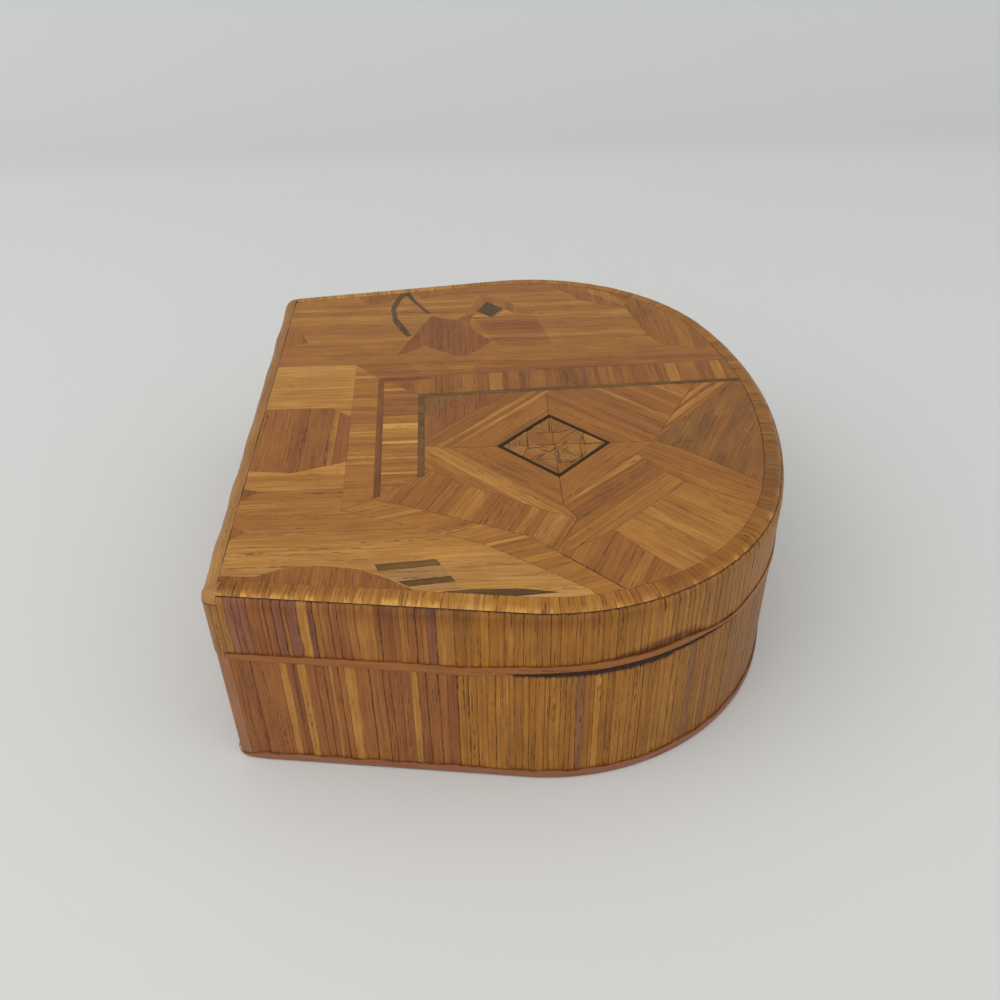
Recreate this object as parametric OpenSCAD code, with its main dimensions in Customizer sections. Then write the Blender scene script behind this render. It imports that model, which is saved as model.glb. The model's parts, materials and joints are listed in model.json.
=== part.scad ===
// Hinged straw marquetry box with a horseshoe outline.
// The straight hinge side faces +Y, the curved front faces -Y, and +Z is up.
// The origin is on the resting plane, midway between the hinge side and the front.

/* [Outline] */
// Depth from the hinge side to the front of the curve
box_d = 110; // [104:1:120]
// Width along the hinge side, before its corners are rounded
hinge_w = 114; // [108:1:120]
// Angle by which the straight sides spread towards the front, in degrees
splay = 8; // [5:0.5:10]
// Radius of the two tight curves between the sides and the front
haunch_r = 46.4; // [43:0.1:49]
// Radius of the shallow curve across the front
front_r = 101; // [90:1:112]
// Radius of the two corners at the hinge side
corner_r = 3; // [2.9:0.1:5]
// Distance past these corners at which the side walls and their straws begin
corner_past = 0.4; // [0.2:0.1:1]

/* [Heights] */
// Overall height of the closed box
box_h = 41; // [38:0.5:46]
// Height of the seam between base and lid
seam_h = 26.7; // [22:0.1:31]

/* [Carcass] */
// Thickness of the bent side walls and of the back walls
wall_t = 2.2; // [1.6:0.1:2.3]
// Thickness of the floor board
floor_t = 3; // [2:0.1:5]
// Thickness of the lid board
lid_board_t = 3; // [2.4:0.1:5]
// Thickness of the lining paper and of the paper underneath
paper_t = 0.3; // [0.2:0.05:0.5]
// Width of the border that the paper underneath leaves free
paper_margin = 2; // [1:0.5:6]
// Smallest corner radius of an inner piece
inner_corner_r = 0.4; // [0.2:0.1:1]
// Height of the shallow arch where the lid's front has lifted off the base
lift_h = 0.8; // [0.2:0.1:1]
// Length of that arch
lift_len = 46; // [30:1:56]
// Direction of that arch from the middle of the box, in degrees
lift_angle = 194; // [188:1:200]

/* [Straw] */
// Thickness of the straw sheets with their backing paper
straw_t = 0.5; // [0.3:0.05:0.6]
// Length of the straw panel beside each hinge corner, up to its upright seam
side_panel_len = 40; // [34:1:46]
// Rounding radius of the lid's upper edge, measured outside the straw
round_r = 2.2; // [1.4:0.1:2.8]
// Width on top of the band of short straws round the lid
edge_w = 4; // [3:0.1:5]
// Width on top of the plain strip along the hinge side
strip_w = 3; // [2.9:0.1:5]
// How far up the rounded edge the edge straws begin, in degrees
edge_start = 47; // [30:1:60]
// Gap under the edge straws, above the straw panels of the lid's walls
edge_joint = 0.2; // [0.1:0.05:0.4]
// Height of the flat band round the lid's lower edge
rim_band_h = 1.8; // [1.4:0.1:3]
// Height of the flat band round the foot
foot_band_h = 1.7; // [1.2:0.1:3]
// Distance that both bands stand proud of the straw
band_proud = 0.4; // [0.2:0.05:0.6]

/* [Hinge] */
// Height of each leaf of the cloth hinge
leaf_h = 8; // [5:0.5:10]
// Thickness of the hinge cloth
cloth_t = 0.4; // [0.3:0.05:0.6]
// Free length at each end of the cloth hinge
cloth_margin = 3; // [1:0.5:8]

/* [Lozenge] */
// Place of the lozenge across the lid, from the middle line
lozenge_x = -16; // [-18:0.5:-14]
// Distance of the lozenge from the hinge side
lozenge_y = 62.7; // [61:0.1:64]
// Half diagonal of the mosaic
mosaic_r = 10.3; // [8:0.1:10.8]
// Half diagonal of the black stringing round it, outside
lozenge_line_r = 11.4; // [11:0.1:13]
// Half diagonal of the plain mitred band round it, outside
lozenge_band_r = 20; // [18.5:0.1:20.3]

// Width of the hair joints between sheets of one colour, as where the strips round it are mitred
mitre_joint = 0.06; // [0.04:0.02:0.2]
// Share of its size by which each mosaic piece is cut small, for its joints
joint_share = 0.03; // [0.02:0.01:0.06]

/* [Stringing] */
// Width of the green and red inlaid lines
line_w = 1.3; // [0.8:0.1:1.8]

/* [Hidden] */
// Angle between the points of the outline's curves, and of its two small corners
arc_step = 4;
corner_step = 14;
// Steps round the lid's upper edge, and the thickness of the layers that they are drawn with
round_steps = 5;
layer_t = 0.01;

// Far outside the box, for pieces that run out under the edge band
far = 130;

// Centre of the front curve, with the hinge side on the X axis and the front towards -Y
front_c = [0, front_r - box_d];
side_out = [cos(splay), sin(splay)];
side_dir = [sin(splay), -cos(splay)];
// The haunch touches the side line and the front curve from inside
haunch_from = [hinge_w / 2, 0] - haunch_r * side_out;
haunch_b = (haunch_from - front_c) * side_dir;
haunch_c2 = (haunch_from - front_c) * (haunch_from - front_c) - pow(front_r - haunch_r, 2);
haunch_c = haunch_from + (-haunch_b + sqrt(haunch_b * haunch_b - haunch_c2)) * side_dir;
join_angle = atan2(haunch_c[1] - front_c[1], haunch_c[0] - front_c[0]);
corner_c = [hinge_w / 2 - corner_r * (1 - sin(splay)) / cos(splay), -corner_r];
side_top = corner_c + corner_r * side_out;

wall_off = straw_t + wall_t;
lining_off = wall_off + paper_t;
lid_board_top = box_h - straw_t;
lid_board_bottom = lid_board_top - lid_board_t;
// The strip on the hinge side covers the whole rounded edge, and the edge straws cover its upper part
round_start = box_h - round_r;
edge_line = round_start + round_r * sin(edge_start);
// The arch under the lid is part of a large circle
lift_r = (lift_len * lift_len / 4 + lift_h * lift_h) / (2 * lift_h);

// Every piece is drawn from the hinge side and then moved to the middle of the box
module place() {
    translate([0, box_d / 2, 0]) children();
}

// Points along an arc, from one direction to another
function arc(c, r, a0, a1, step) = let(n = max(1, round(abs(a1 - a0) / step)))
    [for (i = [0:n]) let(a = a0 + (a1 - a0) * i / n) c + r * [cos(a), sin(a)]];
function mirrored(list) = [for (i = [len(list) - 1:-1:0]) [-list[i][0], list[i][1]]];

// The outline, drawn in by off all round: corner, side, haunch and front on the right, then the left
function corner_centre(off) = let(k = max(corner_r, off + inner_corner_r))
    [hinge_w / 2 - k * (1 - sin(splay)) / cos(splay), -k];
function right_points(off) = let(c = corner_centre(off)) concat(
    arc(c, -c[1] - off, 90, splay, corner_step),
    arc(haunch_c, haunch_r - off, splay, join_angle, arc_step)
);
function front_points(off) = arc(front_c, front_r - off, join_angle, -180 - join_angle, arc_step);
function inner_points(list) = [for (i = [1:len(list) - 2]) list[i]];

module outline(off) {
    polygon(concat(right_points(off), inner_points(front_points(off)), mirrored(right_points(off))));
}

module plate(off, z, t) {
    place() translate([0, 0, z]) linear_extrude(t) outline(off);
}

// Half width of the box at y on the straight sides, drawn in by off
function side_x(y, off) = hinge_w / 2 - (off + y * sin(splay)) / cos(splay);

// The field that the marquetry fills, inside the edge straws and the hinge strip
module field() {
    outline(edge_w);
    join_y = -edge_w - inner_corner_r - 1;
    a = side_x(-strip_w, edge_w);
    b = side_x(join_y, edge_w);
    polygon([[-a, -strip_w], [a, -strip_w], [b, join_y], [-b, join_y]]);
}

// Cuts across both walls, at one distance past the hinge corners
function wall_cuts(from) = let(
    at = side_top + from * side_dir,
    outer = at + 2 * edge_w * side_out,
    inner = at - 2 * edge_w * side_out
) [outer, inner, [-inner[0], inner[1]], [-outer[0], outer[1]]];

// All that lies further round the front than such a cut, and all behind it
module past_corners(from) {
    polygon(concat(wall_cuts(from), [[-far, -far], [far, -far]]));
}

module before(from) {
    polygon(concat(wall_cuts(from), [[-far, far], [far, far]]));
}

module right_half() {
    translate([0, -far]) square([far, 2 * far]);
}

// The stretch of the hinge side between its two corners
module hinge_stretch() {
    translate([-corner_c[0], -corner_r * 2]) square([2 * corner_c[0], corner_r * 4]);
}

module ring(off0, off1) {
    difference() {
        outline(off0);
        outline(off1);
    }
}

module upright(z0, z1) {
    place() translate([0, 0, z0]) linear_extrude(z1 - z0) children();
}

// The flat cylinder that lifts the lid's lower edge off the base near the front
module lift_arch() {
    rotate(lift_angle) translate([0, 0, seam_h + lift_h - lift_r]) rotate([0, 90, 0])
        cylinder(r = lift_r, h = box_d, $fn = 180);
}

module back_wall(z0, z1) {
    upright(z0, z1) intersection() {
        ring(straw_t, wall_off);
        before(corner_past);
    }
}

module bent_wall(z0, z1) {
    upright(z0, z1) intersection() {
        ring(straw_t, wall_off);
        past_corners(corner_past);
    }
}

module right_straws(z0, z1) {
    upright(z0, z1) intersection() {
        ring(0, straw_t);
        right_panel_plan();
    }
}

module right_corner_straw(z0, z1) {
    upright(z0, z1) difference() {
        intersection() {
            ring(0, straw_t);
            before(corner_past);
            right_half();
        }
        hinge_stretch();
    }
}

module wall_lining(z0, z1) {
    upright(z0, z1) ring(wall_off, lining_off);
}

// A plate whose top edge is rounded all round, drawn in by off
module rounded_plate(off, r, z0, z1) {
    hull() {
        translate([0, 0, z0]) linear_extrude(z1 - r - z0) outline(off);
        for (i = [1:round_steps]) {
            a = 90 * i / round_steps;
            translate([0, 0, z1 - r + r * sin(a) - layer_t]) linear_extrude(layer_t)
                outline(off + r * (1 - cos(a)));
        }
    }
}

// The straw that covers the lid's walls and rolls over its edge, before it is cut into its pieces
module lid_shell() {
    difference() {
        rounded_plate(0, round_r, seam_h, box_h);
        rounded_plate(straw_t, round_r - straw_t, seam_h - 1, lid_board_top);
        translate([0, 0, round_start]) linear_extrude(2 * round_r) field();
    }
}

// What lies of it between two heights, over a flat shape
module shell_piece(z0, z1) {
    intersection() {
        lid_shell();
        translate([0, 0, z0]) linear_extrude(z1 - z0) children();
    }
}

// Each straw panel of the lid reaches up to the edge straws, which take up from there
module lid_panel() {
    place() shell_piece(seam_h - 1, edge_line - edge_joint) children();
}

module edge_panel() {
    place() shell_piece(edge_line, box_h + 1) children();
}

module right_panel_plan() {
    intersection() {
        past_corners(corner_past);
        before(side_panel_len);
        right_half();
    }
}

module base_board() {
    color("burlywood") plate(wall_off, paper_t, floor_t);
}

module base_back_wall() {
    color("burlywood") back_wall(paper_t, seam_h);
}

module base_bent_wall() {
    color("burlywood") bent_wall(paper_t, seam_h);
}

module base_underside_paper() {
    color("tan") plate(paper_margin, 0, paper_t);
}

module base_floor_lining() {
    color("antiquewhite") plate(lining_off, paper_t + floor_t, paper_t);
}

module base_wall_lining() {
    color("antiquewhite") wall_lining(paper_t + floor_t, seam_h);
}

module base_left_straws() {
    color("sienna") mirror([1, 0, 0]) right_straws(paper_t, seam_h);
}

module base_right_straws() {
    color("sienna") right_straws(paper_t, seam_h);
}

module base_front_straws() {
    color("peru") upright(paper_t, seam_h) intersection() {
        ring(0, straw_t);
        past_corners(side_panel_len);
    }
}

module base_back_straws() {
    color("peru") upright(paper_t, seam_h) intersection() {
        ring(0, straw_t);
        hinge_stretch();
    }
}

module base_left_corner_strip() {
    color("rosybrown") mirror([1, 0, 0]) right_corner_straw(paper_t, seam_h);
}

module base_right_corner_strip() {
    color("rosybrown") right_corner_straw(paper_t, seam_h);
}

module base_foot_band() {
    color("indianred") upright(paper_t, paper_t + foot_band_h) ring(-band_proud, 0);
}

module hinge_leaf(z0) {
    half = corner_c[0] - cloth_margin;
    place() translate([-half, 0, z0]) cube([2 * half, cloth_t, leaf_h]);
}

module hinge_cloth_base_leaf() {
    color("rosybrown") hinge_leaf(seam_h - leaf_h);
}

module hinge_cloth_lid_leaf() {
    color("rosybrown") hinge_leaf(seam_h);
}

// The board's rounded edge is concentric with the straw that rolls over it
module lid_board() {
    color("burlywood") place() rounded_plate(straw_t, round_r - straw_t, lid_board_bottom, lid_board_top);
}

module lid_back_wall() {
    color("burlywood") back_wall(seam_h, lid_board_bottom);
}

module lid_bent_wall() {
    color("burlywood") difference() {
        bent_wall(seam_h, lid_board_bottom);
        lift_arch();
    }
}

module lid_top_lining() {
    color("antiquewhite") plate(lining_off, lid_board_bottom - paper_t, paper_t);
}

module lid_wall_lining() {
    color("antiquewhite") difference() {
        wall_lining(seam_h, lid_board_bottom);
        lift_arch();
    }
}

module lid_left_straws() {
    color("sienna") mirror([1, 0, 0]) lid_panel() right_panel_plan();
}

module lid_right_straws() {
    color("sienna") lid_panel() right_panel_plan();
}

module lid_front_straws() {
    color("peru") difference() {
        lid_panel() past_corners(side_panel_len);
        lift_arch();
    }
}

// The straw on the lid's back turns both hinge corners
module lid_back_straws() {
    color("tan") upright(seam_h, round_start - edge_joint) intersection() {
        ring(0, straw_t);
        before(corner_past);
    }
}

module lid_left_edge_straws() {
    color("goldenrod") mirror([1, 0, 0]) edge_panel() right_panel_plan();
}

module lid_right_edge_straws() {
    color("goldenrod") edge_panel() right_panel_plan();
}

module lid_front_edge_straws() {
    color("goldenrod") edge_panel() past_corners(side_panel_len);
}

module lid_hinge_edge_strip() {
    color("rosybrown") place() shell_piece(round_start, box_h + 1) difference() {
        square(2 * far, center = true);
        past_corners(corner_past);
    }
}

module lid_rim_band() {
    color("indianred") difference() {
        upright(seam_h, seam_h + rim_band_h) intersection() {
            ring(-band_proud, 0);
            past_corners(corner_past);
        }
        lift_arch();
    }
}

// A straw sheet on the lid, trimmed to the field
module sheet(points) {
    place() translate([0, 0, lid_board_top]) linear_extrude(straw_t) intersection() {
        polygon(points);
        field();
    }
}

// The space that sheets of other straw take out of a ground
module inlay_space(points) {
    place() translate([0, 0, lid_board_top - 1]) linear_extrude(straw_t + 2) polygon(points);
}

// Points given from the left or the right end of the hinge side, or from the front of the curve
function from_left(list) = [for (p = list) [p[0] - hinge_w / 2, p[1]]];
function from_right(list) = [for (p = list) [p[0] + hinge_w / 2, p[1]]];
function from_front(list) = [for (p = list) [p[0], p[1] - box_d]];

// Points shared by neighbouring sheets, as distances from the middle line and from the hinge side
back_l = [-35.5, -22];
back_r = [19.5, -20.8];
function back_line(x) = back_l + (back_r - back_l) * (x - back_l[0]) / (back_r[0] - back_l[0]);
red_l = [-32, -27.6];
red_r = [12.8, -26.2];
red_inner_l = red_l + [0.5, -line_w];
red_inner_r = red_r + [-line_w, -line_w];
red_foot_r = [13.3, -38.3];
red_foot_l = red_foot_r - [line_w, 0];
green_l = [-26, -35.7];
green_r = [5.5, -35.2];
green_under_l = green_l + [0.8, -line_w];
green_under_r = green_r + [-line_w, -line_w];
green_foot_r = [8.9, -far];
green_foot_l = green_foot_r - [line_w, 0];
// Points on the underside of the cross line and on the left of the long line
green_cross = green_under_r - green_under_l;
green_long = green_foot_l - green_under_r;
function under_green(x) = green_under_l + green_cross * (x - green_under_l[0]) / green_cross[0];
function beside_green(y) = green_under_r + green_long * (y - green_under_r[1]) / green_long[1];

lozenge_c = [lozenge_x, -lozenge_y];
function lozenge_point(r, side) = lozenge_c + r * [cos(90 * side), sin(90 * side)];
band_right = lozenge_point(lozenge_band_r, 0);
band_top = lozenge_point(lozenge_band_r, 1);
band_left = lozenge_point(lozenge_band_r, 2);
band_bottom = lozenge_point(lozenge_band_r, 3);
// The strip and the leaf in front start on the band's lower left side
leaf_start = band_bottom + [-4.2, 4.2];

transverse_top = under_green(-22.5);
transverse_line = [transverse_top, [-28.5, -44.5], [-33, -52], [-37.5, -59], [-40.3, -64.8]];
stripe_top = [7 - hinge_w / 2, -61];
stripe_left = [13 - hinge_w / 2, -71];
stripe_inner_end = [-25, -81.5];
stripe_outer_end = [-30.5, -86.3];
border_inner = [red_l, [-33.4, -30], [-35, -34.5], [-37.5, -40], [-40.5, -46.5], [-45, -56], stripe_top];
border_outer = concat(
    [back_l, [-39.5, -32], [-43.3, -40.5], [-46.8, -48]],
    from_left([[4.7, -55.5], [-2.5, -65], [-far, -122]])
);
border_inner_far = [-far, -141];
lower_line = [[-56, -80.5], [-far, -150]];
right_border_inner = [red_r, red_foot_r, [17.6, -far]];
right_border_outer = [back_r, [20, -33], [19, -60], [19.8, -78], [22.5, 15 - box_d], [26, -far]];
upper_right_start = under_green(-12.5);
upper_left_end = under_green(-15);
wedge_end = beside_green(8.2 - lozenge_y);
upper_right_end = beside_green(band_right[1] - 0.9);
light_top = beside_green(14.5 - box_d);
light_end = beside_green(6 - box_d);
// The hair joint on the light sheet's near side
function towards(a, b, length) = a + length * (b - a) / norm(b - a);
light_joint_top = beside_green(14.5 - box_d - 2 * mitre_joint);
light_joint_bottom = towards(band_bottom, light_end, 2 * mitre_joint);
leaf_left = [[-31, -91.5], [-35, -97], [-52, -far]];
leaf_right = [[-19, -87.5], [-26, -95], [-31, -100], [-50, -far]];
strip_left = [[-33.5, -90.5], [-38, -97], [-57, -far]];
block_line = [[-21.3, 0], [-22.8, -11.5], back_line(-19.6)];
gold_line = [[1, 0], [0.8, -17], back_line(-3)];
gold_right = [19.6, 0];

function reversed(list) = [for (i = [len(list) - 1:-1:0]) list[i]];

// A small piece drawn in a little towards its middle, so that a joint shows round it
function middle(points) = [for (k = [0, 1]) [for (p = points) p[k]] * [for (p = points) 1 / len(points)]];
function drawn_in(points) = let(m = middle(points)) [for (p = points) m + (1 - joint_share) * (p - m)];

// One quarter of the mosaic: a square of four pieces that turn about its middle
module mosaic_quarter(s) {
    m = s / 2;
    q = s / 4;
    pieces = [
        [[0, 0], [s, 0], [m, m]],
        [[s, 0], [s, s], [m, m]],
        [[s, s], [q, s], [m, m]],
        [[q, s], [0, s], [0, 0], [m, m]]
    ];
    for (points = pieces) linear_extrude(straw_t) polygon(drawn_in(points));
}

module lozenge_mosaic() {
    color("darkkhaki") place() translate([lozenge_c[0], lozenge_c[1], lid_board_top])
        for (a = [45:90:315]) rotate(a) mosaic_quarter(mosaic_r / sqrt(2));
}

// Four strips between two half diagonals, mitred at the lozenge's corners
module mitred_ring(r0, r1) {
    place() translate([lozenge_c[0], lozenge_c[1], lid_board_top]) difference() {
        linear_extrude(straw_t) rotate(45) difference() {
            square(sqrt(2) * r1, center = true);
            square(sqrt(2) * r0, center = true);
        }
        for (a = [0, 90]) rotate(a) cube([2 * r1 + 1, mitre_joint, 3 * straw_t], center = true);
    }
}

module lozenge_stringing() {
    color("black") mitred_ring(mosaic_r, lozenge_line_r);
}

module lozenge_plain_band() {
    color("peru") mitred_ring(lozenge_line_r, lozenge_band_r);
}

module lozenge_upper_left_band() {
    color("goldenrod") sheet(concat(transverse_line, [band_left, band_top, upper_left_end]));
}

module lozenge_upper_right_band() {
    color("goldenrod") sheet([
        band_top, upper_left_end, upper_right_start, wedge_end, upper_right_end, band_right
    ]);
}

module lozenge_lower_left_band() {
    color("sienna") sheet([band_left, leaf_start, stripe_inner_end, transverse_line[4]]);
}

module lozenge_lower_right_band() {
    color("sienna") sheet([band_right, upper_right_end, light_top, band_bottom]);
    color("goldenrod") sheet([light_joint_bottom, light_joint_top, light_end]);
}

module green_stringing() {
    color("darkolivegreen") sheet([
        green_l, green_r, green_foot_r, green_foot_l, green_under_r, green_under_l
    ]);
}

module red_stringing() {
    color("maroon") sheet([red_l, red_r, red_foot_r, red_foot_l, red_inner_r, red_inner_l]);
}

module back_plain_band() {
    color("goldenrod") sheet([back_l, back_r, red_r, red_l]);
}

module back_transverse_band() {
    color("goldenrod") sheet([red_inner_l, red_inner_r, green_r, green_l]);
}

module right_transverse_band() {
    color("peru") sheet([
        red_inner_r, red_foot_l, red_foot_r, right_border_inner[2], green_foot_r, green_r
    ]);
}

module left_transverse_band() {
    color("sienna") sheet(concat(
        [red_inner_l, green_l, green_under_l], transverse_line, reversed(border_inner)
    ));
    color("sienna") sheet(concat(
        [towards(stripe_top, stripe_left, 2 * mitre_joint), stripe_left], lower_line, [border_inner_far]
    ));
}

module left_border_band() {
    color("peru") sheet(concat(border_outer, [border_inner_far], reversed(border_inner)));
}

module right_border_band() {
    color("peru") sheet(concat(right_border_inner, reversed(right_border_outer)));
}

module diagonal_striped_band() {
    color("peru") sheet([
        stripe_top, transverse_line[4], stripe_inner_end, stripe_outer_end, stripe_left
    ]);
}

module red_wedge() {
    color("sienna") sheet([upper_right_start, green_under_r, wedge_end]);
}

module front_brown_triangle() {
    color("saddlebrown") sheet(concat([band_bottom, light_end, green_foot_l], reversed(leaf_right)));
}

module front_gold_leaf() {
    color("goldenrod") sheet(concat([band_bottom, leaf_start], leaf_left, reversed(leaf_right)));
}

module front_dark_strip() {
    color("saddlebrown") sheet(concat(
        [leaf_start, stripe_inner_end, stripe_outer_end], strip_left, reversed(leaf_left)
    ));
}

module front_gold_sheets() {
    color("goldenrod") sheet(concat([stripe_left, stripe_outer_end], strip_left, reversed(lower_line)));
}

hill_points = from_left([
    [-far, 0], [4.8, 0], [4, -9], [6, -14], [6.2, -20], [5, -26], [2.5, -31], [-1, -36], [-far, -39]
]);
tooth_points = [
    [[-44.5, 0], [-41, -5.8], [-37, 0]],
    [[-34, 0], [-28.6, -6], [-26.5, 0]]
];
bar_points = [
    from_left([[1.4, -33], [0, -35], [0.9, -42.7], [2.3, -41.9]]),
    from_left([[4.2, -29.8], [6, -29], [6.8, -39.4], [5.2, -40.3]])
];
lens_points = from_left([[-1.6, -40], [-1.2, -46], [-1.6, -54], [-2.8, -60], [-3.4, -52], [-2.8, -44]]);

module left_ground() {
    color("goldenrod") difference() {
        sheet(concat([[-far, 0]], block_line, border_outer));
        inlay_space(hill_points);
        for (points = concat(tooth_points, bar_points, [lens_points])) inlay_space(points);
    }
}

module left_hill() {
    color("sienna") difference() {
        sheet(hill_points);
        for (points = bar_points) inlay_space(points);
    }
    for (points = tooth_points) color("sienna") sheet(points);
}

module left_bars_and_lens() {
    for (points = concat(bar_points, [lens_points])) color("darkslategray") sheet(points);
}

module hinge_side_red_block() {
    color("sienna") sheet(concat(gold_line, reversed(block_line)));
}

module hinge_side_gold_block() {
    color("goldenrod") sheet(concat([gold_right, back_r], reversed(gold_line)));
}

back_hill_points = [[29.5, 0], [42, 0], [40, -3.6], [36.5, -6.2], [31, -8.5]];
side_hill_points = from_right([
    [far, -14], [1, -18], [-4, -20], [-6, -23], [-4.5, -27], [-2.5, -28.4], [far, -28.4]
]);
far_hill_points = from_right([
    [far, -31.4], [1.4, -32.2], [-3.8, -35.4], [-2.1, -38.8], [1.5, -46.3], [far, -47]
]);
front_hill_points = from_front([
    [25.5, -far], [23.2, 14], [25, 18.5], [30, 21], [34, 21.8], [45, 24], [47.5, 31], [51, 35.5],
    [60, 41.7], [far, 60]
]);
// The brown roof over the stone, which rises from the figure's shoulder
roof_points = from_right([
    [-14.2, -45.8], [-2, -50.6], [-9, -58.7], [-12.5, -63], [-14.9, -61.7], [-11.2, -56.5], [-5.2, -51.2],
    [-13.6, -47.7]
]);
hill_shapes = [back_hill_points, side_hill_points, far_hill_points, front_hill_points, roof_points];
figure_points = from_right([
    [-33, -30], [-24.6, -33.2], [-13.6, -37.6], [-15.4, -40.6], [-16.4, -43.8], [-14.2, -45.8],
    [-13.6, -47.7], [-18.2, -46.8], [-22, -47.6], [-28, -51.8], [-34.6, -46.2], [-34.2, -43],
    [-31.4, -39], [-28.8, -36.2], [-30.4, -34.6], [-32.4, -32]
]);
// The long arc and the straight line that meets it
arc_outer = from_right([
    [-24.4, -31.9], [-20.7, -30], [-15.9, -28.2], [-8.9, -27.4], [-2.9, -28.4], [2, -30.4]
]);
arc_inner = from_right([
    [2, -31.3], [-0.7, -30.9], [-4.7, -29.5], [-9.6, -28.5], [-14.4, -29.2], [-18.5, -30.9], [-23.9, -32.9]
]);
ray_points = from_right([
    [-0.7, -30.96], [-4.6, -32.4], [-12.6, -36.6], [-12.1, -37.4], [-4.4, -33.3], [2, -31.36]
]);
stone_points = from_right([[-11.5, -48.9], [-6.4, -51.4], [-10.5, -55.5], [-15.2, -52.3]]);
dark_inlay_points = [concat(arc_outer, arc_inner), ray_points, stone_points];
// Pale corners on both sides of the stone
pale_inlay_points = [
    from_right([[-15.2, -47.4], [-12.1, -49.2], [-14.6, -51.6]]),
    from_right([[-15.4, -53.2], [-11.1, -55.9], [-13.2, -57.6]])
];

module right_hills() {
    for (points = hill_shapes) color("saddlebrown") difference() {
        sheet(points);
        for (inlay = concat(dark_inlay_points, pale_inlay_points)) inlay_space(inlay);
    }
}

module right_red_figure() {
    color("sienna") difference() {
        sheet(figure_points);
        for (points = dark_inlay_points) inlay_space(points);
    }
}

module right_dark_inlays() {
    color("darkslategray") {
        sheet(dark_inlay_points[0]);
        difference() {
            sheet(ray_points);
            inlay_space(dark_inlay_points[0]);
        }
        sheet(stone_points);
    }
}

module right_pale_inlays() {
    for (points = pale_inlay_points) color("wheat") difference() {
        sheet(points);
        inlay_space(stone_points);
    }
}

module right_ground() {
    color("goldenrod") difference() {
        sheet(concat([gold_right], right_border_outer, [[far, -far], [far, 0]]));
        for (points = concat(hill_shapes, [figure_points], dark_inlay_points, pale_inlay_points))
            inlay_space(points);
    }
}

base_board();
base_back_wall();
base_bent_wall();
base_underside_paper();
base_floor_lining();
base_wall_lining();
base_left_straws();
base_front_straws();
base_right_straws();
base_back_straws();
base_left_corner_strip();
base_right_corner_strip();
base_foot_band();
hinge_cloth_base_leaf();
hinge_cloth_lid_leaf();
lid_board();
lid_back_wall();
lid_bent_wall();
lid_top_lining();
lid_wall_lining();
lid_left_straws();
lid_front_straws();
lid_right_straws();
lid_back_straws();
lid_left_edge_straws();
lid_front_edge_straws();
lid_right_edge_straws();
lid_hinge_edge_strip();
lid_rim_band();
lozenge_mosaic();
lozenge_stringing();
lozenge_plain_band();
lozenge_upper_left_band();
lozenge_upper_right_band();
lozenge_lower_left_band();
lozenge_lower_right_band();
green_stringing();
red_stringing();
back_plain_band();
back_transverse_band();
right_transverse_band();
left_transverse_band();
left_border_band();
right_border_band();
diagonal_striped_band();
red_wedge();
front_brown_triangle();
front_gold_leaf();
front_dark_strip();
front_gold_sheets();
left_ground();
left_hill();
left_bars_and_lens();
hinge_side_red_block();
hinge_side_gold_block();
right_ground();
right_hills();
right_red_figure();
right_dark_inlays();
right_pale_inlays();
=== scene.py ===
import json
import math
import random

import bmesh
import bpy
import numpy as np
from mathutils import Matrix, Vector, noise

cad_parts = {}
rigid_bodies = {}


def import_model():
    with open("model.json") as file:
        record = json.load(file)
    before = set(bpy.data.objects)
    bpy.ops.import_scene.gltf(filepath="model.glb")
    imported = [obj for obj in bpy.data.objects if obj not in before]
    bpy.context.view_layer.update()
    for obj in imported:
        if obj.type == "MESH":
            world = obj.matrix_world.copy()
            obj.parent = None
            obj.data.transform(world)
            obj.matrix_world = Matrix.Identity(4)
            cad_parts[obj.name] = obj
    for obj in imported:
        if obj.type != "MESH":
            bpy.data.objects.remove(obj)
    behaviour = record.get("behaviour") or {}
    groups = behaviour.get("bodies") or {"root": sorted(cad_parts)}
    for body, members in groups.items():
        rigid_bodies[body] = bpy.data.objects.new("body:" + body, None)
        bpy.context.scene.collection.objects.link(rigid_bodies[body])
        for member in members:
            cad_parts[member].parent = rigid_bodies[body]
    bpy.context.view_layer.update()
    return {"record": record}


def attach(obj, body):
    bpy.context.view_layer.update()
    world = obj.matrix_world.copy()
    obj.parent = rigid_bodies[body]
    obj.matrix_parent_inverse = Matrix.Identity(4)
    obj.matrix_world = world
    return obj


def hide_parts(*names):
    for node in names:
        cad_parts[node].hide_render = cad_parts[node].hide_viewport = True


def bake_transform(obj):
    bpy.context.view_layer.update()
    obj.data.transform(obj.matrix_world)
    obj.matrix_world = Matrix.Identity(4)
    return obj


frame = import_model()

MM = 0.001


def add_object(name, data):
    made = bpy.data.objects.new(name, data)
    bpy.context.scene.collection.objects.link(made)
    return made


# Camera, from the photograph's viewing angle

CAMERA_AZIMUTH = -92.003
CAMERA_ELEVATION = 36.647
CAMERA_DISTANCE = 224.692
CAMERA_TARGET = (1.816, 2.638, 14.292)
CAMERA_ROLL = -0.906
CAMERA_FOCAL_PX = 975.334
CAMERA_CLIP_M = (0.01, 10)
IMAGE_PX = 1000
SENSOR_MM = 36


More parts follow.
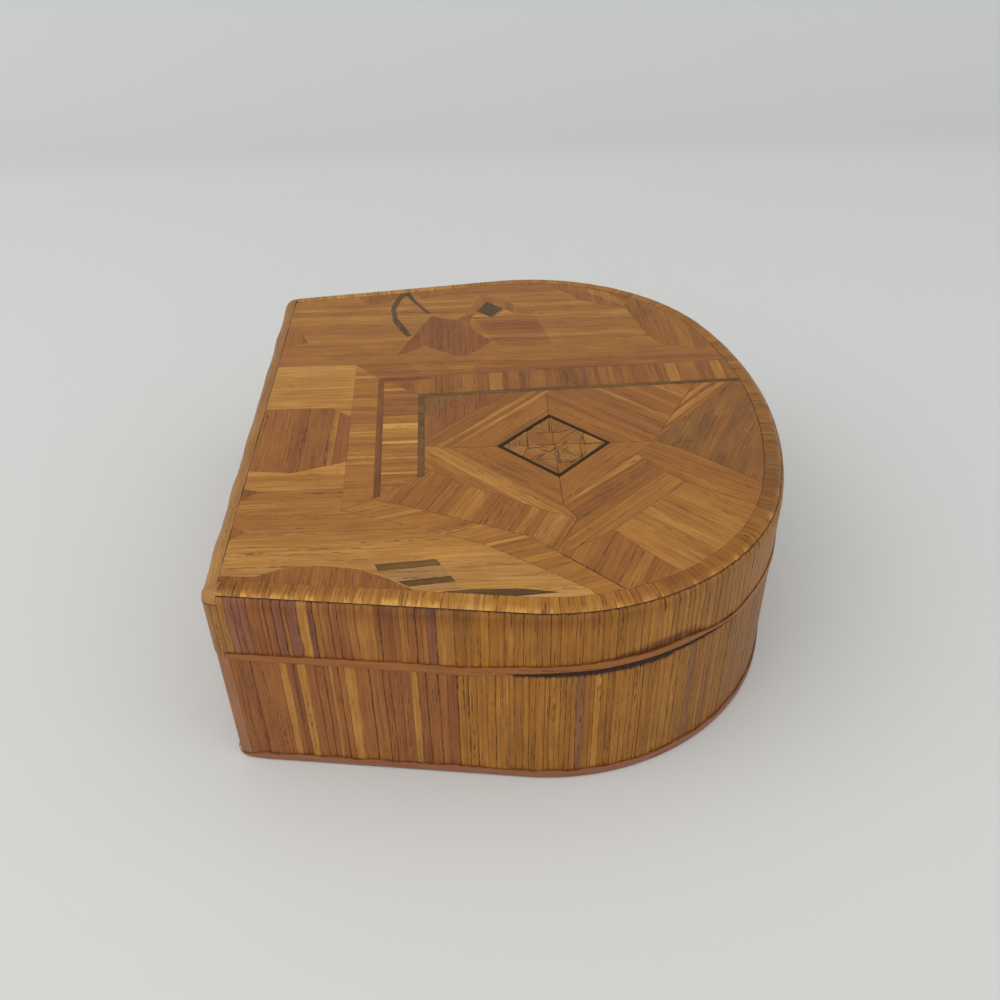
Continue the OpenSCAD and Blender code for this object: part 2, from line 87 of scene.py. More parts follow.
def make_camera():
    a, e, roll = (math.radians(v) for v in (CAMERA_AZIMUTH, CAMERA_ELEVATION, CAMERA_ROLL))
    back = Vector((math.sin(a) * math.cos(e), -math.cos(a) * math.cos(e), math.sin(e)))
    level = Vector((math.cos(a), math.sin(a), 0))
    up = back.cross(level)
    right = level * math.cos(roll) + up * math.sin(roll)
    up = up * math.cos(roll) - level * math.sin(roll)
    data = bpy.data.cameras.new("camera")
    data.sensor_width = SENSOR_MM
    data.lens = CAMERA_FOCAL_PX / IMAGE_PX * SENSOR_MM
    data.clip_start, data.clip_end = CAMERA_CLIP_M
    cam = add_object("camera", data)
    place = (Vector(CAMERA_TARGET) + back * CAMERA_DISTANCE) * MM
    cam.matrix_world = Matrix.Translation(place) @ Matrix((right, up, back)).transposed().to_4x4()
    bpy.context.scene.camera = cam


make_camera()


# The outline, as the part draws it: s is the distance along it from the hinge corner on the left

BOX_D = 110
HINGE_W = 114
SPLAY = math.radians(8)
HAUNCH_R = 46.4
FRONT_R = 101
CORNER_R = 3
BOX_H = 41
SEAM_H = 26.7
STRAW_T = 0.5
PAPER_T = 0.3
ROUND_R = 2.2
EDGE_W = 4
STRIP_W = 3
EDGE_START = math.radians(47)
EDGE_JOINT = math.radians(2.5)
CORNER_PAST = 0.4
SIDE_PANEL_LEN = 40
PANEL_JOINT = 0.03


def heading(angle):
    return np.array([math.cos(angle), math.sin(angle)])


side_out = heading(SPLAY)
side_dir = np.array([math.sin(SPLAY), -math.cos(SPLAY)])
front_c = np.array([0.0, FRONT_R - BOX_D])
haunch_from = np.array([HINGE_W / 2, 0]) - HAUNCH_R * side_out
haunch_b = float((haunch_from - front_c) @ side_dir)
haunch_q = float((haunch_from - front_c) @ (haunch_from - front_c)) - (FRONT_R - HAUNCH_R) ** 2
haunch_c = haunch_from + (math.sqrt(haunch_b ** 2 - haunch_q) - haunch_b) * side_dir
join_angle = math.atan2(haunch_c[1] - front_c[1], haunch_c[0] - front_c[0])
corner_c = np.array([HINGE_W / 2 - CORNER_R * (1 - math.sin(SPLAY)) / math.cos(SPLAY), -CORNER_R])
side_top = corner_c + CORNER_R * side_out
side_len = float((haunch_c + HAUNCH_R * side_out - side_top) @ side_dir)

CORNER_LEN = CORNER_R * (math.pi / 2 - SPLAY)
HAUNCH_LEN = HAUNCH_R * (SPLAY - join_angle)
FRONT_LEN = FRONT_R * (math.pi + 2 * join_angle)
S_SIDE = CORNER_LEN
S_HAUNCH = S_SIDE + side_len
S_FRONT = S_HAUNCH + HAUNCH_LEN
S_HALF = S_FRONT + FRONT_LEN / 2
S_END = 2 * S_HALF
S_START = S_SIDE + CORNER_PAST
SIDE_END = S_SIDE + (SIDE_PANEL_LEN + PANEL_JOINT)
FAR_SIDE = S_END - SIDE_END
HINGE_LEN = 2 * corner_c[0]


def outline(s):
    """Point and outward normal in mm.

    Below 0 the outline runs back along the hinge side to the far corner."""
    if s < -HINGE_LEN:
        s += S_END + HINGE_LEN
    elif s < 0:
        return np.array([-corner_c[0] - s, BOX_D / 2]), np.array([0.0, 1.0])
    t = s if s <= S_HALF else S_END - s
    if t < S_SIDE:
        n = heading(math.pi / 2 - t / CORNER_R)
        p = corner_c + CORNER_R * n
    elif t < S_HAUNCH:
        n = side_out
        p = side_top + (t - S_SIDE) * side_dir
    elif t < S_FRONT:
        n = heading(SPLAY - (t - S_HAUNCH) / HAUNCH_R)
        p = haunch_c + HAUNCH_R * n
    else:
        n = heading(join_angle - (t - S_FRONT) / FRONT_R)
        p = front_c + FRONT_R * n
    side = -1 if s <= S_HALF else 1
    return np.array([side * p[0], p[1] + BOX_D / 2]), np.array([side * n[0], n[1]])


# Materials, each under its slot's name

MATERIALS = {}
# The sockets that a mix node uses for colours
MIX_FACTOR, MIX_A, MIX_B, MIX_RESULT = 0, 6, 7, 2


class Graph:
    """A material's node tree, with short calls for the nodes that are used here."""

    def __init__(self, name):
        MATERIALS[name] = bpy.data.materials.new(name)
        MATERIALS[name].use_nodes = True
        self.tree = MATERIALS[name].node_tree
        self.shader = self.tree.nodes["Principled BSDF"]

    def put(self, socket, value):
        if isinstance(value, bpy.types.NodeSocket):
            self.tree.links.new(value, socket)
        else:
            socket.default_value = value

    def set(self, name, value):
        self.put(self.shader.inputs[name], value)

    def node(self, kind, values=(), **settings):
        """A new node's outputs. Values go to its inputs in order, or by name or number."""
        made = self.tree.nodes.new("ShaderNode" + kind)
        for key, value in settings.items():
            setattr(made, key, value)
        for key, value in values.items() if isinstance(values, dict) else enumerate(values):
            self.put(made.inputs[key], value)
        return made.outputs

    def attribute(self, name, output="Vector"):
        return self.node("Attribute", attribute_name=name)[output]

    def place(self):
        return self.node("TexCoord")["Object"]

    def math(self, operation, a, b, clamp=False):
        return self.node("Math", (a, b), operation=operation, use_clamp=clamp)[0]

    def add(self, a, b, clamp=False):
        return self.math("ADD", a, b, clamp)

    def less(self, a, b, clamp=False):
        return self.math("SUBTRACT", a, b, clamp)

    def times(self, a, b, clamp=False):
        return self.math("MULTIPLY", a, b, clamp)

    def swing(self, value, noise, size, clamp=False):
        """The value with the noise's swing about its middle added."""
        return self.add(value, self.times(self.less(noise, 0.5), size), clamp)

    def vector(self, operation, a, b):
        return self.node("VectorMath", (a, b), operation=operation)[0]

    def noise(self, vector, scale, detail, roughness):
        values = {"Vector": vector, "Scale": scale, "Detail": detail, "Roughness": roughness}
        return self.node("TexNoise", values)[0]

    def stretched(self, place, scale, detail, roughness):
        """Noise with a scale of its own along each axis."""
        return self.noise(self.vector("MULTIPLY", place, scale), 1.0, detail, roughness)

    def fit(self, value, low, high, to_low=0.0, to_high=1.0):
        return self.node("MapRange", (value, low, high, to_low, to_high))[0]

    def ramp(self, factor, colours):
        made = self.node("ValToRGB", (factor,))[0]
        stops = made.node.color_ramp.elements
        while len(stops) < len(colours):
            stops.new(0.5)
        for stop, (place, colour) in zip(stops, colours):
            stop.position = place
            stop.color = (*colour, 1)
        return made

    def mix(self, factor, a, b):
        return self.node("Mix", {MIX_FACTOR: factor, MIX_A: a, MIX_B: b}, data_type="RGBA")[MIX_RESULT]

    def bump(self, height, strength, distance):
        values = {"Strength": strength, "Distance": distance, "Height": height}
        self.set("Normal", self.node("Bump", values)[0])


RED_STRAW = [(0.0, (0.08, 0.024, 0.006)), (0.35, (0.19, 0.06, 0.014)), (0.6, (0.27, 0.093, 0.021)),
             (1.0, (0.4, 0.165, 0.04))]
GOLD_STRAW = [(0.0, (0.12, 0.042, 0.007)), (0.35, (0.24, 0.088, 0.014)), (0.6, (0.33, 0.135, 0.021)),
              (1.0, (0.54, 0.27, 0.055))]
ASH_STRAW = [(0.0, (0.09, 0.042, 0.012)), (0.35, (0.18, 0.079, 0.022)), (0.6, (0.27, 0.126, 0.034)),
             (1.0, (0.42, 0.235, 0.08))]
PLUM_STRAW = [(0.0, (0.08, 0.027, 0.012)), (0.35, (0.165, 0.057, 0.027)), (0.6, (0.235, 0.085, 0.04)),
              (1.0, (0.35, 0.148, 0.078))]
# The colour of dark joints, and of the painted shadow in gaps
JOINT_AND_SHADOW_DARK = (0.035, 0.012, 0.004, 1)
FIBRE_SWING = 0.36
STRAW_IOR = 1.45
DEEP_STRAW = [(0.0, (0.12, 0.042, 0.005)), (0.35, (0.24, 0.088, 0.009)), (0.6, (0.33, 0.135, 0.014)),
              (1.0, (0.54, 0.27, 0.045))]
BLACK_STRAW = [(0.0, (0.014, 0.008, 0.003)), (0.5, (0.036, 0.02, 0.006)), (1.0, (0.09, 0.052, 0.015))]
GREEN_STRAW = [(0.0, (0.03, 0.02, 0.008)), (0.5, (0.14, 0.065, 0.012)), (1.0, (0.27, 0.15, 0.04))]
STRAWS = (RED_STRAW, GOLD_STRAW, ASH_STRAW, PLUM_STRAW)
WALL_STRAWS = (RED_STRAW, DEEP_STRAW, ASH_STRAW, PLUM_STRAW)
WOOD = [(0.3, (0.3, 0.17, 0.075)), (0.5, (0.46, 0.29, 0.145)), (0.7, (0.56, 0.38, 0.21))]
CLOTH = [(0.2, (0.1, 0.035, 0.02)), (0.55, (0.24, 0.1, 0.06)), (0.85, (0.36, 0.18, 0.12))]


def straw_material(name, streak=0.36, blotch=0.2, rough=0.42, gloss=0.3, cracked=0.0, palettes=STRAWS):
    """Split straw: fine fibres along the grain, streaks and blotches, dark broken joints, and painted shadow
    drawn dark like a joint.
    """
    g = Graph(name + "_straw")
    tone, family, seed = g.node("SeparateColor", (g.attribute("straw", "Color"),))
    # The shade attribute shifts the tone: painted highlights and painted shade, as well as real changes of
    # colour
    shift = g.node("SeparateXYZ", (g.attribute("shade"),))
    tone = g.add(tone, shift[0])
    family = g.add(family, shift[1])
    grain = g.attribute("grain")
    # The joint attribute darkens joints, and also paints shadow in gaps
    joint = g.attribute("joint", "Fac")
    apart = g.node("CombineXYZ", [g.times(seed, reach) for reach in (37.0, 91.0, 13.0)])[0]
    shifted = g.vector("ADD", grain, apart)
    streaks = g.stretched(shifted, (2.0, 0.08, 1.0), 3.0, 0.65)
    fibres = g.stretched(shifted, (4.6, 0.16, 1.0), 2.0, 0.6)
    patches = g.stretched(grain, (0.17, 0.08, 1.0), 3.0, 0.6)
    flecks = g.stretched(shifted, (3.0, 0.9, 1.0), 2.0, 0.5)
    broken = g.stretched(grain, (1.5, 0.5, 1.0), 1.0, 0.5)
    cracks = g.stretched(shifted, (4.2, 0.04, 1.0), 1.0, 0.5)
    dashes = g.stretched(shifted, (2.0, 0.5, 1.0), 1.0, 0.5)
    shade = g.swing(tone, streaks, streak * 2)
    shade = g.swing(shade, patches, blotch * 2)
    shade = g.swing(shade, fibres, FIBRE_SWING)
    shade = g.less(shade, g.fit(flecks, 0.66, 0.78, 0.0, 0.2), clamp=True)
    colour = g.ramp(shade, palettes[0])
    for i, palette in enumerate(palettes[1:]):
        colour = g.mix(g.fit(family, 0.5 * i, 0.5 * i + 0.5), colour, g.ramp(shade, palette))
    whole = g.math("MAXIMUM", g.fit(broken, 0.4, 0.56, 0.12, 1.0), g.fit(joint, 0.75, 0.95))
    gap = g.times(g.fit(joint, 0.2, 0.9), whole, clamp=True)
    crack = g.times(g.fit(cracks, 0.62 - cracked, 0.68 - cracked), g.fit(dashes, 0.46, 0.6, 0.0, 0.75))
    g.set("Base Color", g.mix(g.math("MAXIMUM", gap, crack, clamp=True), colour, JOINT_AND_SHADOW_DARK))
    worn = g.add(g.times(streaks, 0.16), g.times(patches, 0.14))
    g.set("Roughness", g.add(g.add(worn, shift[2]), rough - 0.15))
    g.set("IOR", STRAW_IOR)
    g.set("Specular IOR Level", gloss)
    height = g.add(fibres, g.times(streaks, 0.8))
    g.bump(g.less(height, g.times(crack, 0.8)), 0.35, 0.00006)


def wood_material():
    g = Graph("carcass_wood")
    rings = g.stretched(g.place(), (60.0, 1400.0, 1400.0), 4.0, 0.6)
    fine = g.stretched(g.place(), (300.0, 9000.0, 9000.0), 2.0, 0.6)
    shade = g.swing(rings, fine, 0.3, clamp=True)
    g.set("Base Color", g.ramp(shade, WOOD))
    g.set("Roughness", g.fit(rings, 0.3, 0.7, 0.6, 0.78))
    g.bump(shade, 0.4, 0.0001)


def paper_material(slot, dark, mid, light, size):
    """Old hand-made paper: fibres, foxing and rubbed spots."""
    g = Graph(slot)
    place = g.place()
    pulp = g.noise(place, 2600.0, 4.0, 0.65)
    stain = g.noise(place, size, 4.0, 0.6)
    spots = g.noise(place, size * 5, 2.0, 0.5)
    shade = g.add(g.times(stain, 0.75), g.times(pulp, 0.25))
    shade = g.less(shade, g.fit(spots, 0.66, 0.74, 0.0, 0.16), clamp=True)
    g.set("Base Color", g.ramp(shade, [(0.28, dark), (0.5, mid), (0.7, light)]))
    g.set("Roughness", g.fit(stain, 0.3, 0.7, 0.82, 0.92))
    g.bump(pulp, 0.5, 0.00008)


def cloth_material():
    """Plain weave, about 1.6 threads a millimetre each way."""
    g = Graph("hinge_cloth")
    grain = g.attribute("grain")
    thread = {"Vector": grain, "Scale": 0.55, "Distortion": 0.6}
    weave = g.math("MAXIMUM", *(g.node("TexWave", thread, wave_type="BANDS", bands_direction=direction)["Fac"]
                                for direction in "XY"))
    fuzz = g.noise(grain, 4.0, 3.0, 0.6)
    fade = g.noise(grain, 0.12, 3.0, 0.6)
    shade = g.add(g.times(weave, 0.35), g.times(fuzz, 0.35))
    shade = g.add(shade, g.times(fade, 0.4), clamp=True)
    g.set("Base Color", g.ramp(shade, CLOTH))
    g.set("Roughness", 0.9)
    g.bump(g.add(weave, g.times(fuzz, 0.5)), 0.6, 0.0001)


wood_material()
paper_material("lining_paper", (0.4, 0.32, 0.2), (0.6, 0.52, 0.38), (0.7, 0.63, 0.49), 55.0)
paper_material("underside_paper", (0.2, 0.13, 0.08), (0.34, 0.25, 0.16), (0.46, 0.36, 0.25), 45.0)
cloth_material()
straw_material("red", cracked=0.02)
straw_material("tan", cracked=0.035, palettes=WALL_STRAWS)
straw_material("rose", streak=0.26, blotch=0.26)
straw_material("rust", streak=0.26, rough=0.46)
straw_material("pale", streak=0.4, rough=0.45)
straw_material("amber")
straw_material("golden")
straw_material("brown", blotch=0.34, rough=0.46)
straw_material("black", gloss=0.12, palettes=[BLACK_STRAW])
straw_material("green", streak=0.35, palettes=[GREEN_STRAW])


# Meshes with the attributes that the straw material reads

RED, GOLD, PLUM = 0.0, 0.5, 1.5
PLAIN = (0.0, 0.0, 0.0)


class Piece:
    """Collects points in mm, faces, and for each face the straw that it belongs to.

    A point's shade is a shift of tone, family and roughness; some of it is painted highlight and painted
    shade, and the rest is real change of colour. A point's joint darkness also holds painted shadow in gaps."""

    def __init__(self):
        self.points = []
        self.joint = []
        self.grain = []
        self.shade = []
        self.faces = []
        self.straws = []

    def point(self, place, joint, grain, shade=PLAIN):
        self.points.append(place)
        self.joint.append(joint)
        self.grain.append(grain)
        self.shade.append(shade)
        return len(self.points) - 1

    def face(self, corners, straw):
        self.faces.append(corners)
        self.straws.append(straw)

    def build(self, name, slot, body, *nodes):
        """Straw's slots go by the straw's colour."""
        slot = slot if slot in MATERIALS else slot + "_straw"
        mesh = bpy.data.meshes.new(name)
        mesh.from_pydata([tuple(c * MM for c in p) for p in self.points], [], self.faces)
        colours = [c for face, value in zip(self.faces, self.straws) for c in (*value, 1.0) * len(face)]
        mesh.attributes.new("straw", "FLOAT_COLOR", "CORNER").data.foreach_set("color", colours)
        mesh.attributes.new("joint", "FLOAT", "POINT").data.foreach_set("value", self.joint)
        for key, vectors in (("grain", [(*g, 0.0) for g in self.grain]), ("shade", self.shade)):
            numbers = [c for v in vectors for c in v]
            mesh.attributes.new(key, "FLOAT_VECTOR", "POINT").data.foreach_set("vector", numbers)
        work = bmesh.new()
        work.from_mesh(mesh)
        bmesh.ops.recalc_face_normals(work, faces=work.faces)
        work.to_mesh(mesh)
        work.free()
        mesh.materials.append(MATERIALS[slot])
        obj = add_object(name, mesh)
        if body:
            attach(obj, body)
        if nodes:
            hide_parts(*nodes)
        return obj


def sweep(name, slot, rings, straws):
    """Rings are lists of (s, off, z, joint, across, along, shade). Each stretch between two has its straw.

    The node's name starts with its body's."""
    piece = Piece()
    rows = []
    for ring in rings:
        row = []
        for s, off, z, joint, across, along, *shade in ring:
            p, n = outline(s)
            row.append(piece.point((*(p - off * n), z), joint, (across, along), *shade))
        rows.append(row)
    for a, b, straw in zip(rows, rows[1:], straws):
        for k in range(len(a)):
            m = (k + 1) % len(a)
            piece.face((a[k], b[k], b[m], a[m]), straw)
    piece.face(tuple(rows[0]), straws[0])
    piece.face(tuple(reversed(rows[-1])), straws[-1])
    piece.build(name + "_laid", slot, name.split("_")[0], name)


def lay(start, end, rng, widths, look, marks=(), seams=()):
    """Splits a stretch into straws: (from, to, tone, family, seed).

    Marks are chosen straws (from, to, tone, family), and seams are places where a joint must lie."""
    straws = []
    t = start
    fixed = [(m[0], min(m[1], end), m) for m in marks] + [(p, p, None) for p in seams]
    waiting = sorted((f for f in fixed if start < f[0] < end), key=lambda f: f[0])
    while t < end - 1e-6:
        width = rng.uniform(*widths)
        if waiting and t + 1.4 * width > waiting[0][0]:
            a, b, mark = waiting.pop(0)
            if a - t > 0.3:
                straws.append((t, a, *look(0.5 * (t + a), rng), rng.random()))
            elif a > t and straws:
                straws[-1] = (straws[-1][0], a, *straws[-1][2:])
            t = max(t, a)
            if mark and b > t:
                straws.append((t, b, mark[2], mark[3], rng.random()))
                t = b
            continue
        stop = t + width
        if end - stop < 0.5 * widths[0]:
            stop = end
        straws.append((t, stop, *look(0.5 * (t + stop), rng), rng.random()))
        t = stop
    return straws


def plain_look(tone, family, spread=0.1):
    def look(t, rng):
        return tone + rng.uniform(-spread, spread), family + rng.uniform(-0.1, 0.1)
    return look


def graded_look(knots, spread=0.1):
    """Tone and family between given places along the outline."""
    def look(t, rng):
        places = [k[0] for k in knots]
        tone = np.interp(t, places, [k[1] for k in knots])
        family = np.interp(t, places, [k[2] for k in knots])
        return tone + rng.uniform(-spread, spread), family + rng.uniform(-0.12, 0.12)
    return look


def wobble(rng, size, length):
    """A smooth wandering line: returns a function of the distance along it."""
    waves = [(rng.uniform(0.6, 2.2) / length, rng.uniform(0, 6.28), rng.uniform(0.3, 1)) for _ in range(4)]
    total = sum(w[2] for w in waves)

    def line(u):
        return size * sum(a * math.sin(6.28 * f * u + p) for f, p, a in waves) / total
    return line


def joint_darks(straws, rng, faint, strong, seams, seam_dark=1.0):
    """How dark the joint before each straw is, and the last one's far joint."""
    darks = []
    for place in [w[0] for w in straws] + [straws[-1][1]]:
        at_seam = any(abs(place - seam) < 0.02 for seam in seams)
        darks.append(seam_dark if at_seam else faint + (strong - faint) * rng.random() ** 1.5)
    return darks


def straw_columns(straws, rng, groove, depth, darks):
    """Columns across a row of straws: (place, depth, joint, straw index, share across the straw)."""
    columns = []
    for i, straw in enumerate(straws):
        a, b = straw[0], straw[1]
        g = min(groove * rng.uniform(0.7, 1.3), 0.22 * (b - a))
        low = rng.uniform(0, 0.05)
        columns.append((a, low + depth * (0.2 + 0.8 * darks[i]), darks[i], i, 0.0))
        columns.append((a + g, low + 0.02, 0.0, i, g / (b - a)))
        columns.append((0.5 * (a + b), low, 0.0, i, 0.5))
        columns.append((b - g, low + 0.02, 0.0, i, 1 - g / (b - a)))
    last = straws[-1]
    columns.append((last[1], depth, darks[-1], len(straws) - 1, 1.0))
    return columns


# Walls of upright straws. Those of the lid roll in over its edge, as far as the edge straws

BASE_ROWS = [PAPER_T + k * (SEAM_H - PAPER_T) / 9 for k in range(9)] + [25.2, 25.7, 26.2, SEAM_H]
LID_ROWS = [SEAM_H, 27.6, 28.4, 29.2, 30.0, 30.8, 31.8, 33.4, 35.2, 37.0, BOX_H - ROUND_R]
WALL_GROOVE = 0.13
WALL_DEPTH = 0.13
GAP_DEPTH = 0.3
TONGUE_DEPTH = 0.3
TONGUE_END = EDGE_START + math.radians(6)


def rolled(angle, depth):
    """Distance in from the outline and height of a point on the rounded edge."""
    r = ROUND_R - depth
    return ROUND_R - r * math.cos(angle), BOX_H - ROUND_R + r * math.sin(angle)


def wall(name, slot, start, end, rows, look, seed, widths=(0.9, 1.7), marks=(), seams=(), rolls=False,
         shade=None, faint=0.15):
    """Rolls is for the sides of the lid. Shade takes s and z, and gives a point's shade and its painted
    shadow, which is drawn dark like a joint and sinks the straw in.
    """
    rng = random.Random(seed)
    straws = lay(start, end, rng, widths, look, marks, seams)
    darks = joint_darks(straws, rng, faint, 0.9, seams)
    joints = [wobble(rng, 0.09, rows[-1] - rows[0]) for _ in range(len(straws) + 1)]
    edge = EDGE_START - EDGE_JOINT
    run = BOX_H - ROUND_R + ROUND_R * EDGE_START
    rings = []
    cells = []
    for s, depth, joint, i, share in straw_columns(straws, rng, WALL_GROOVE, WALL_DEPTH, darks):
        spots = []
        for z in rows:
            shift = (1 - share) * joints[i](z) + share * joints[i + 1](z)
            spots.append((0 if s - start < 0.02 or end - s < 0.02 else shift, depth, z, z, joint))
        if rolls:
            # The top of the roll and the tongue under the edge straws are drawn dark: a real gap between the
            # wall and the edge straws, with painted shade in it
            for angle in (0.25 * edge, 0.5 * edge, 0.75 * edge, edge):
                along = BOX_H - ROUND_R + ROUND_R * angle
                spots.append((0, *rolled(angle, depth), along, 1.0 if angle == edge else joint))
            spots += [(0, *rolled(angle, TONGUE_DEPTH), run, 1.0) for angle in (edge, TONGUE_END)]
            spots += [(0, *rolled(angle, STRAW_T), run, joint) for angle in (TONGUE_END, 0.5 * TONGUE_END)]
        for z, past in ((rows[-1], STRAW_T), (rows[0], -STRAW_T)):
            spots.append((0, STRAW_T, z, z + past, joint))
        ring = []
        for shift, off, z, along, dark in spots:
            # Shadow is painted shadow: it is drawn dark like a joint, and the straw is sunk in there
            tint, shadow = shade(s, along) if shade else (PLAIN, 0.0)
            sunk = GAP_DEPTH if shadow and off < STRAW_T - GAP_DEPTH else 0
            ring.append((s + shift, off + sunk, z, max(dark, shadow), s, along, tint))
        rings.append(ring)
        cells.append(straws[i][2:])
    sweep(name, slot, rings, cells[:-1])


# Short straws and the plain strip that roll over the lid's upper edge

ROLL_STEPS = 7
ROLL_LEN = ROUND_R * 0.5 * math.pi


def roll_profile(start, inner, depth):
    """Points (off, z, run) from the start up over the rounded edge, inwards, and back underneath."""
    top = []
    for k in range(ROLL_STEPS + 1):
        angle = start + (0.5 * math.pi - start) * k / ROLL_STEPS
        top.append((*rolled(angle, depth), ROUND_R * angle))
    for share in (0.35, 0.7, 1.0):
        off = ROUND_R + share * (inner - ROUND_R)
        top.append((off, BOX_H - depth, ROLL_LEN + off - ROUND_R))
    under = [(inner, BOX_H - STRAW_T, ROLL_LEN + inner - ROUND_R), (ROUND_R, BOX_H - STRAW_T, ROLL_LEN)]
    if start > 0:
        tongue = TONGUE_DEPTH - 0.05
        past = TONGUE_END + 0.02
        back = ((1.25, STRAW_T), (past, STRAW_T), (past, tongue), (start, tongue))
    else:
        back = ((1.1, STRAW_T), (0.5, STRAW_T), (0, STRAW_T))
    under += [(*rolled(angle, thick), ROUND_R * angle) for angle, thick in back]
    return top, under


def edge_straws(name, start, end, widths, look, seed, glint, merge=PLAIN):
    """Glint lightens the lower ends, and merge is the shade of the inner ends."""
    rng = random.Random(seed)
    straws = lay(start, end, rng, widths, look)
    darks = joint_darks(straws, rng, 0.25, 0.95, ())
    ends = [EDGE_W - rng.uniform(0.02, 0.07) for _ in straws]
    shine = [glint * rng.random() ** 2.5 for _ in straws]
    rings = []
    cells = []
    for s, depth, joint, i, share in straw_columns(straws, rng, 0.1, 0.08, darks):
        top, under = roll_profile(EDGE_START, ends[i], depth)
        ring = []
        for off, z, run in top:
            inwards = min(1, max(0, (run - 1.9) / 2.6))
            low = max(0, 1 - (run - ROUND_R * EDGE_START) / 1.4) ** 1.3
            tint = (inwards * merge[0] + low * shine[i], inwards * merge[1], inwards * merge[2] - 0.1 * low)
            ring.append((s, off, z, joint * (1 - 0.5 * low), s, run, tint))
        ring += [(s, off, z, joint, s, run) for off, z, run in under]
        rings.append(ring)
        cells.append(straws[i][2:])
    sweep(name, "tan", rings, cells[:-1])


def hinge_edge_strip():
    rng = random.Random(61)
    line = wobble(rng, 0.2, 22)
    inner_line = wobble(rng, 0.12, 18)
    places = list(np.arange(-HINGE_LEN - S_START, S_START, 0.45)) + [S_START]
    rings = []
    for s in places:
        beyond = s > 0 or s < -HINGE_LEN
        past = s > S_SIDE or s < -HINGE_LEN - S_SIDE
        inner = 3.9 if past else (2.9 if beyond else STRIP_W - 0.05 - abs(inner_line(s)))
        depth = 0.1 if past or beyond else 0.2 + line(s)
        top, under = roll_profile(0, inner, depth)
        ring = [(s, off, z, 0.0, run, s) for off, z, run in top]
        ring[-1] = (*ring[-1][:3], 1.0, *ring[-1][4:])
        ring += [(s, off, z, 0.0, run, s) for off, z, run in under]
        rings.append(ring)
    straws = [(0.57 + 0.16 * max(0, 1 - abs(s) / 45), 0.85, 0.3) for s in places]
    sweep("lid_hinge_edge_strip", "rose", rings, straws)


# Flat bands along the foot and the lid's rim

BAND_ROWS = (0.0, 0.12, 0.5, 0.88, 1.0)
BAND_GAP = 0.03
# Darkness along the bands' edges: a real edge line, deepened with painted shade where the bands meet the wall
# and the floor
BAND_EDGE_SHADE = 0.55
WORN_AT = 1.5


def band(name, start, end, low_of, high_of, stand_of, seed, look):
    rng = random.Random(seed)
    places = list(np.arange(start, end, 0.8)) + [end]
    rings = []
    for s in places:
        low, high = low_of(s), high_of(s)
        foot_stand, head_stand = stand_of(s)
        dark = BAND_EDGE_SHADE if s < 98 else 0.3
        ring = []
        for share in BAND_ROWS:
            edge = 0.05 if share in (0.0, 1.0) else 0.0
            stand = max(BAND_GAP + 0.02, foot_stand + share * (head_stand - foot_stand) - edge)
            z = low + share * (high - low)
            ring.append((s, -stand, z, dark if edge else 0.0, z, s))
        ring.append((s, -BAND_GAP, high, BAND_EDGE_SHADE, high + 0.3, s))
        ring.append((s, -BAND_GAP, low, BAND_EDGE_SHADE, low - 0.3, s))
        rings.append(ring)
    shared = rng.random()
    sweep(name, "rust", rings, [(*look(s), shared) for s in places])


# The rim band as it lies today, beside the front: it has lifted off the base and twisted.
# Each knot is (place along the outline, lower edge, upper edge, stand of the lower edge, of the upper edge)
RIM_KNOTS = [
    (4, 26.5, 27.8, 0.36, 0.36), (30, 26.3, 28.1, 0.36, 0.36), (46, 26.1, 28.0, 0.38, 0.36),
    (51, 26.6, 28.3, 0.38, 0.36), (56, 27.4, 28.9, 0.38, 0.36), (62, 27.8, 29.3, 0.38, 0.38),
    (72, 28.0, 29.4, 0.36, 0.39), (82, 28.0, 29.5, 0.2, 0.39), (87, 27.8, 29.4, 0.1, 0.39),
    (90, 28.0, 28.8, 0.2, 0.39), (93, 27.7, 28.4, 0.3, 0.39), (98, 27.2, 27.9, 0.3, 0.3),
    (104, 26.9, 28.4, 0.26, 0.24), (110, 26.9, 28.7, 0.24, 0.22), (264, 26.9, 28.7, 0.24, 0.22),
    (280, 26.8, 28.6, 0.36, 0.36), (309, 26.8, 28.6, 0.36, 0.36),
]


def between(knots, s, column):
    return float(np.interp(s, [k[0] for k in knots], [k[column] for k in knots]))


def bands():
    rng = random.Random(71)
    low_line, high_line, foot_line = wobble(rng, 0.1, 25), wobble(rng, 0.12, 19), wobble(rng, 0.3, 14)

    def worn(s):
        """0 where the foot band has worn away, by the near hinge corner, and 1 where it is whole."""
        beyond = (s - WORN_AT) / 4 if s > WORN_AT else (WORN_AT - s) / 14
        return min(1, max(0, beyond - 0.4))

    band("base_foot_band", -HINGE_LEN, S_END, lambda s: PAPER_T,
         lambda s: PAPER_T + 0.5 + 1.1 * worn(s) + foot_line(s),
         lambda s: (0.08 + 0.29 * worn(s),) * 2, 72, lambda s: (0.68, PLUM))
    band("lid_rim_band", S_SIDE, S_END - S_SIDE,
         lambda s: between(RIM_KNOTS, s, 1) + low_line(s), lambda s: between(RIM_KNOTS, s, 2) + high_line(s),
         lambda s: (between(RIM_KNOTS, s, 3), between(RIM_KNOTS, s, 4)), 73,
         lambda s: (0.61, 0.0) if s < 96 else (0.56, 0.8))


# The inlay on the lid: each sheet is cut from its node and split into straws

SHEET_TOP = BOX_H
RIM_DEPTH = 0.07
GROOVE = 0.08
SCORE = 0.2
GROOVE_DEPTH = 0.07
SEAM_DARK = 0.84
LID_TONE = -0.03


